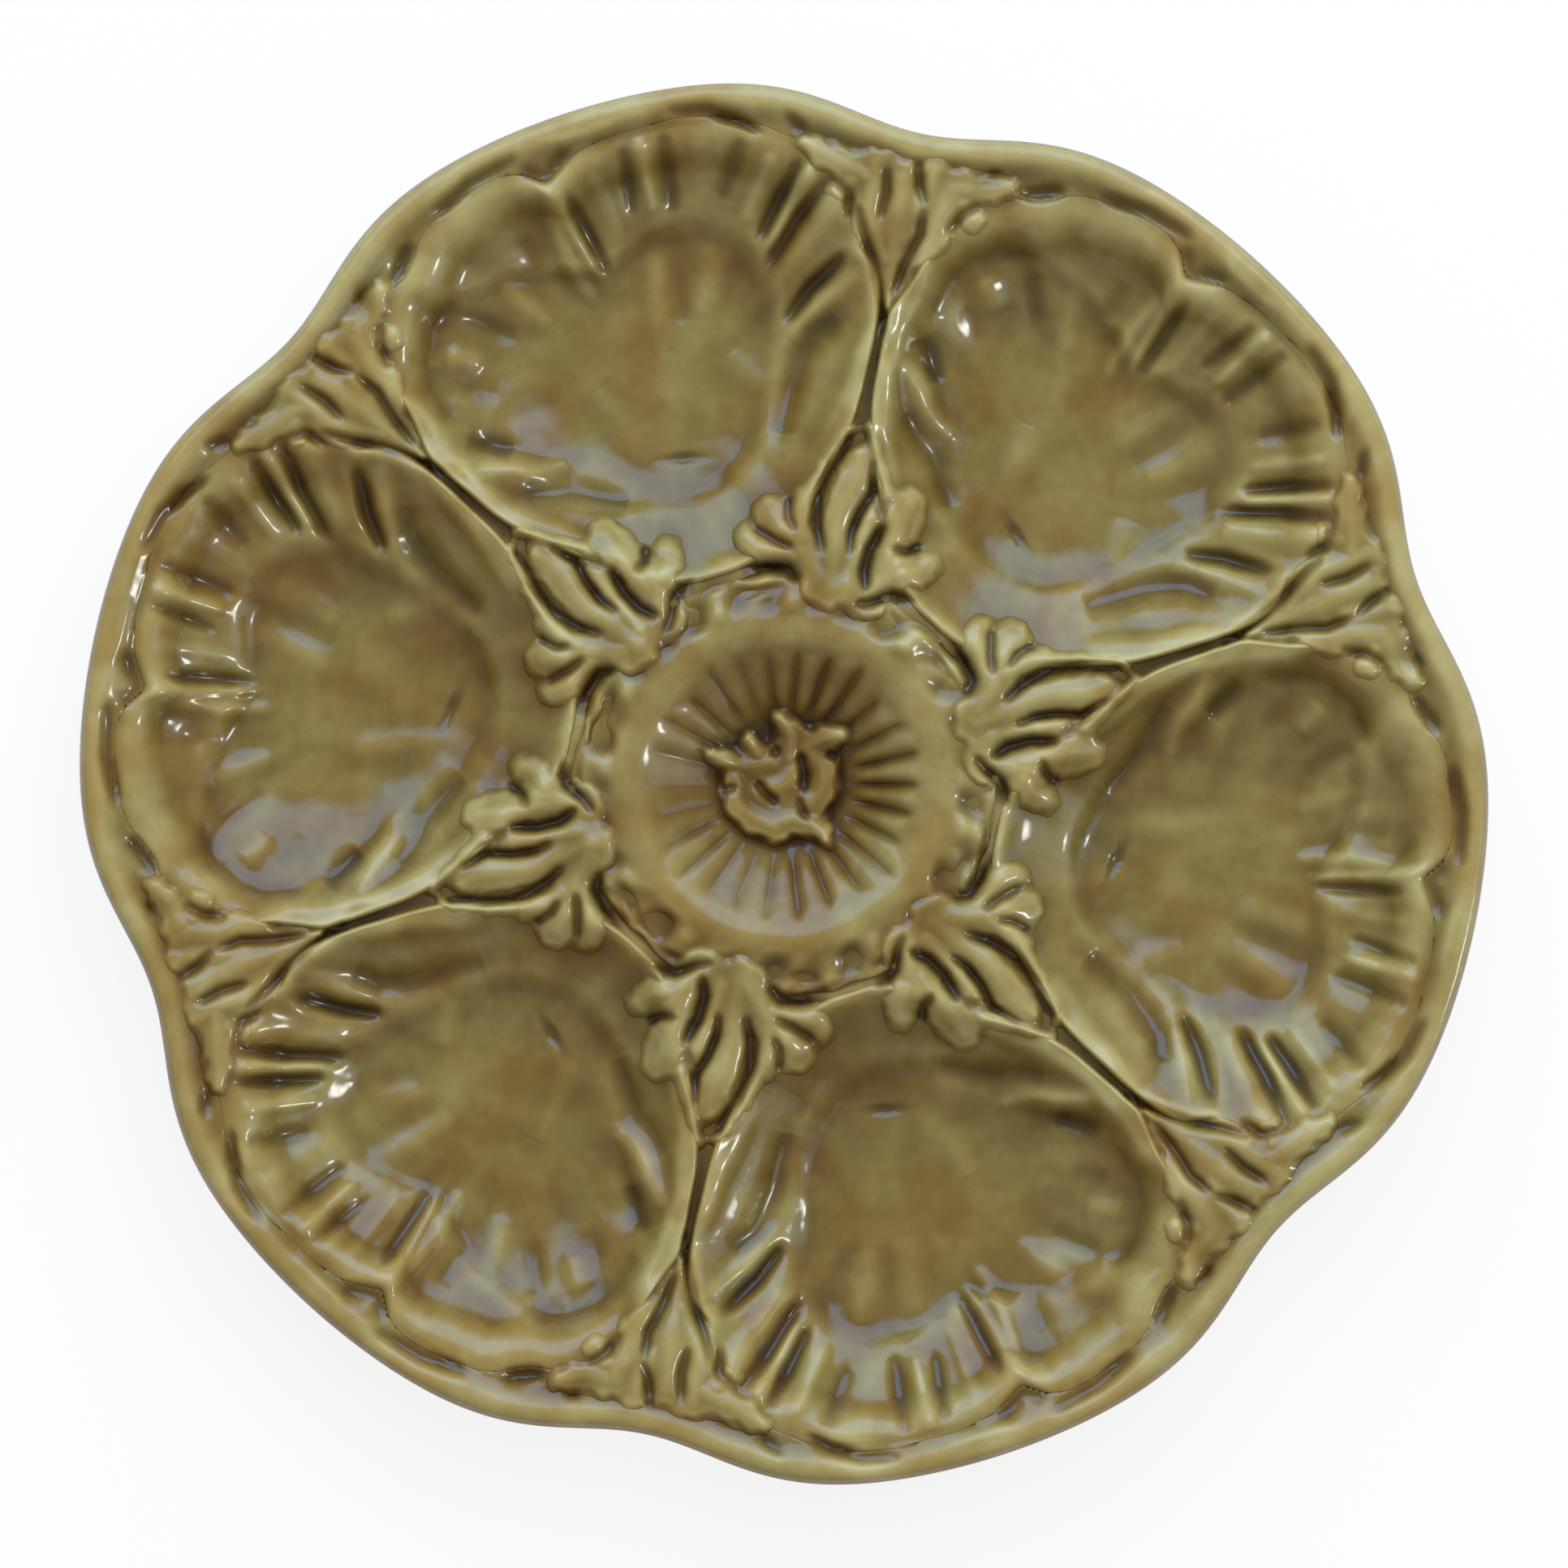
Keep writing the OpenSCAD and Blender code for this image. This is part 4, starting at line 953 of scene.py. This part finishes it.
def glaze_material(name, lift=0.0):
    """Glossy translucent majolica glaze over a pale body: its colour follows its thickness.
    A lift makes it paler."""
    material = bpy.data.materials.new(name)
    material.use_nodes = True
    tree = material.node_tree
    shader = tree.nodes["Principled BSDF"]
    shader.inputs["Roughness"].default_value = 0.09
    shader.inputs["IOR"].default_value = 1.52
    shader.inputs["Coat Weight"].default_value = 0.25
    shader.inputs["Coat Roughness"].default_value = 0.03
    place = node_at(tree, "ShaderNodeTexCoord", -1500, 0)
    thick = node_at(tree, "ShaderNodeAttribute", -1200, 200, attribute_name="glaze")
    warm = node_at(tree, "ShaderNodeAttribute", -1200, 750, attribute_name="warm")
    mottle = noise_at(tree, place, -1200, -50, 210, 6, 0.6)
    patches = noise_at(tree, place, -1200, -300, 55, 3)
    hue = noise_at(tree, place, -1200, 500, 70, 4)
    fine = added_at(tree, -1000, -50, mottle.outputs["Fac"], MOTTLE, thick.outputs["Fac"])
    wide = added_at(tree, -800, -50, patches.outputs["Fac"], PATCHES, fine)
    shift = node_at(tree, "ShaderNodeMath", -620, -50, operation="ADD")
    shift.inputs[1].default_value = -NOISE_MEAN - lift
    tree.links.new(wide, shift.inputs[0])
    part = node_at(tree, "ShaderNodeMapRange", -700, 500)
    part.inputs["From Min"].default_value = ALL_OLIVE
    part.inputs["From Max"].default_value = ALL_AMBER
    warmer = added_at(tree, -950, 600, warm.outputs["Fac"], WARM_PART, hue.outputs["Fac"])
    tree.links.new(warmer, part.inputs["Value"])
    blend = node_at(tree, "ShaderNodeMix", -120, 150, data_type="RGBA")
    tree.links.new(part.outputs["Result"], blend.inputs["Factor"])
    for steps, y, socket in ((OLIVE_STEPS, 250, 6), (AMBER_STEPS, 0, 7)):
        ramp = colour_ramp(tree, steps, -420, y)
        tree.links.new(shift.outputs[0], ramp.inputs["Fac"])
        tree.links.new(ramp.outputs["Color"], blend.inputs[socket])
    tree.links.new(blend.outputs[2], shader.inputs["Base Color"])
    ripple = noise_at(tree, place, -620, -350, 160, 2)
    bump = node_at(tree, "ShaderNodeBump", -380, -300)
    bump.inputs["Strength"].default_value = 0.16
    bump.inputs["Distance"].default_value = 0.0012
    tree.links.new(ripple.outputs["Fac"], bump.inputs["Height"])
    tree.links.new(bump.outputs["Normal"], shader.inputs["Normal"])
    return material


def floor_piece():
    """Plain white table that keeps the plate's soft shadow, a hair below the foot."""
    size, below, white = 3.0, -0.0001, 0.86
    signs = ((-1, -1), (1, -1), (1, 1), (-1, 1))
    mesh = bpy.data.meshes.new("floor")
    mesh.from_pydata([(size * sx, size * sy, below) for sx, sy in signs], [], [(0, 1, 2, 3)])
    floor = bpy.data.objects.new("floor", mesh)
    bpy.context.collection.objects.link(floor)
    material = bpy.data.materials.new("floor_white")
    material.use_nodes = True
    tree = material.node_tree
    shader = tree.nodes["Principled BSDF"]
    shader.inputs["Base Color"].default_value = (white, white, white, 1)
    shader.inputs["Roughness"].default_value = 0.8
    shader.inputs["Specular IOR Level"].default_value = 0.1
    glow = node_at(tree, "ShaderNodeEmission", 0, -200)
    glow.inputs["Color"].default_value = (1, 1, 1, 1)
    glow.inputs["Strength"].default_value = 1
    rays = node_at(tree, "ShaderNodeLightPath", -400, 300)
    part = node_at(tree, "ShaderNodeMath", -200, 300, operation="MULTIPLY")
    part.inputs[1].default_value = 0.86
    tree.links.new(rays.outputs["Is Camera Ray"], part.inputs[0])
    mix = node_at(tree, "ShaderNodeMixShader", 300, 0)
    tree.links.new(part.outputs[0], mix.inputs["Fac"])
    tree.links.new(shader.outputs[0], mix.inputs[1])
    tree.links.new(glow.outputs[0], mix.inputs[2])
    tree.links.new(mix.outputs[0], tree.nodes["Material Output"].inputs["Surface"])
    mesh.materials.append(material)
    return floor


def aim(light, target):
    """Turns a light towards a point."""
    line = mathutils.Vector(target) - light.location
    light.rotation_euler = line.to_track_quat("-Z", "Z").to_euler()


def window_light(name, azimuth, from_zenith, away, size, radiance, colour):
    """Soft window that faces the plate. Azimuth counts from +X, in degrees."""
    data = bpy.data.lights.new(name, "AREA")
    data.shape = "RECTANGLE"
    data.size, data.size_y = size
    data.energy = radiance * math.pi * size[0] * size[1]
    data.color = colour
    light = bpy.data.objects.new(name, data)
    a, t = math.radians(azimuth), math.radians(from_zenith)
    aside = away * math.sin(t)
    light.location = (aside * math.cos(a), aside * math.sin(a), away * math.cos(t))
    aim(light, (0, 0, 0))
    bpy.context.collection.objects.link(light)
    return light


def lights():
    """A dim room, a soft lamp above, wide cool windows beyond the plate and at its right, and
    a small bright window. Each window beyond is two lights, which stand at different
    distances, so that its sheen has its own strength and colour."""
    for width, height, radiance in FAR_WINDOWS:
        number, size = int(width * 10), (width, height)
        light = window_light(f"window_far_{number}", 92, 53, 1.8 + width / 20, size, radiance,
                             (0.60, 0.77, 0.96))
        light.visible_glossy = False
        light = window_light(f"sheen_far_{number}", 92, 53, 1.5 + width / 20, size,
                             0.62 * radiance, (0.27, 0.56, 1.0))
        light.visible_diffuse = False
    for width, height, radiance in RIGHT_WINDOWS:
        window_light(f"window_right_{int(width * 10)}", -15, 66, 1.6 + width / 10,
                     (width, height), radiance, (0.66, 0.84, 1.0))
    small = window_light("window_right", -16, 66, 1.5, (0.62, 0.55), 0.085, (1.0, 0.99, 0.97))
    small.visible_diffuse = False
    small.data.spread = math.radians(13)
    aim(small, (0.020, -0.030, 0.015))
    above = window_light("lamp_above", 60, 22, 2.2, (1.6, 1.6), 2.95, (1.0, 0.955, 0.87))
    above.visible_glossy = False
    world = bpy.data.worlds.new("room")
    world.use_nodes = True
    back = world.node_tree.nodes["Background"]
    back.inputs["Color"].default_value = (1.0, 0.96, 0.90, 1)
    back.inputs["Strength"].default_value = 0.30
    bpy.context.scene.world = world


def camera():
    """Camera straight above the plate, as far off as a long lens stands."""
    away, across, focus_z = 1.5, 0.27785, 0.024
    data = bpy.data.cameras.new("camera")
    data.sensor_width = 36
    data.sensor_fit = "HORIZONTAL"
    data.lens = data.sensor_width * (away - focus_z) / across
    cam = bpy.data.objects.new("camera", data)
    cam.location = (0, 0, away)
    bpy.context.collection.objects.link(cam)
    bpy.context.scene.camera = cam


def build():
    """Makes every piece, the floor, the lights and the camera."""
    camera()
    lights()
    floor_piece()
    body = glaze_material("body_glaze")
    shell = glaze_material("shell_glaze")
    coral = glaze_material("coral_glaze", -0.02)
    sauce = glaze_material("sauce_glaze")
    knot = glaze_material("knot_glaze", 0.02)
    dish_piece(body)
    for k in range(SECTORS):
        shell_piece(k, shell)
    sauce_piece(sauce)
    wreath_piece(coral)
    for k in range(SECTORS):
        turn = WELL_ANGLE - 90 + SECTOR * (k + 0.5)
        coral_piece(f"inner_coral_{k + 1}", SPRAY, CORAL_CUTS, SPRAY_BOX, turn, CORAL_H,
                    f"coral_spray_{k + 1}", coral)
        coral_piece(f"outer_coral_{k + 1}", CLUMP, CORAL_CUTS, CLUMP_BOX, turn, CLUMP_H,
                    f"rim_coral_{k + 1}", coral)
    coral_piece("sauce_knot", KNOT, KNOT_CUTS, KNOT_BOX, 0, KNOT_H, "centre_sprig", knot)
    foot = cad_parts["foot_ring"]
    foot.data.materials.clear()
    foot.data.materials.append(glaze_material("foot_glaze", 0.02))


build()
bpy.context.scene.view_settings.view_transform = "Standard"
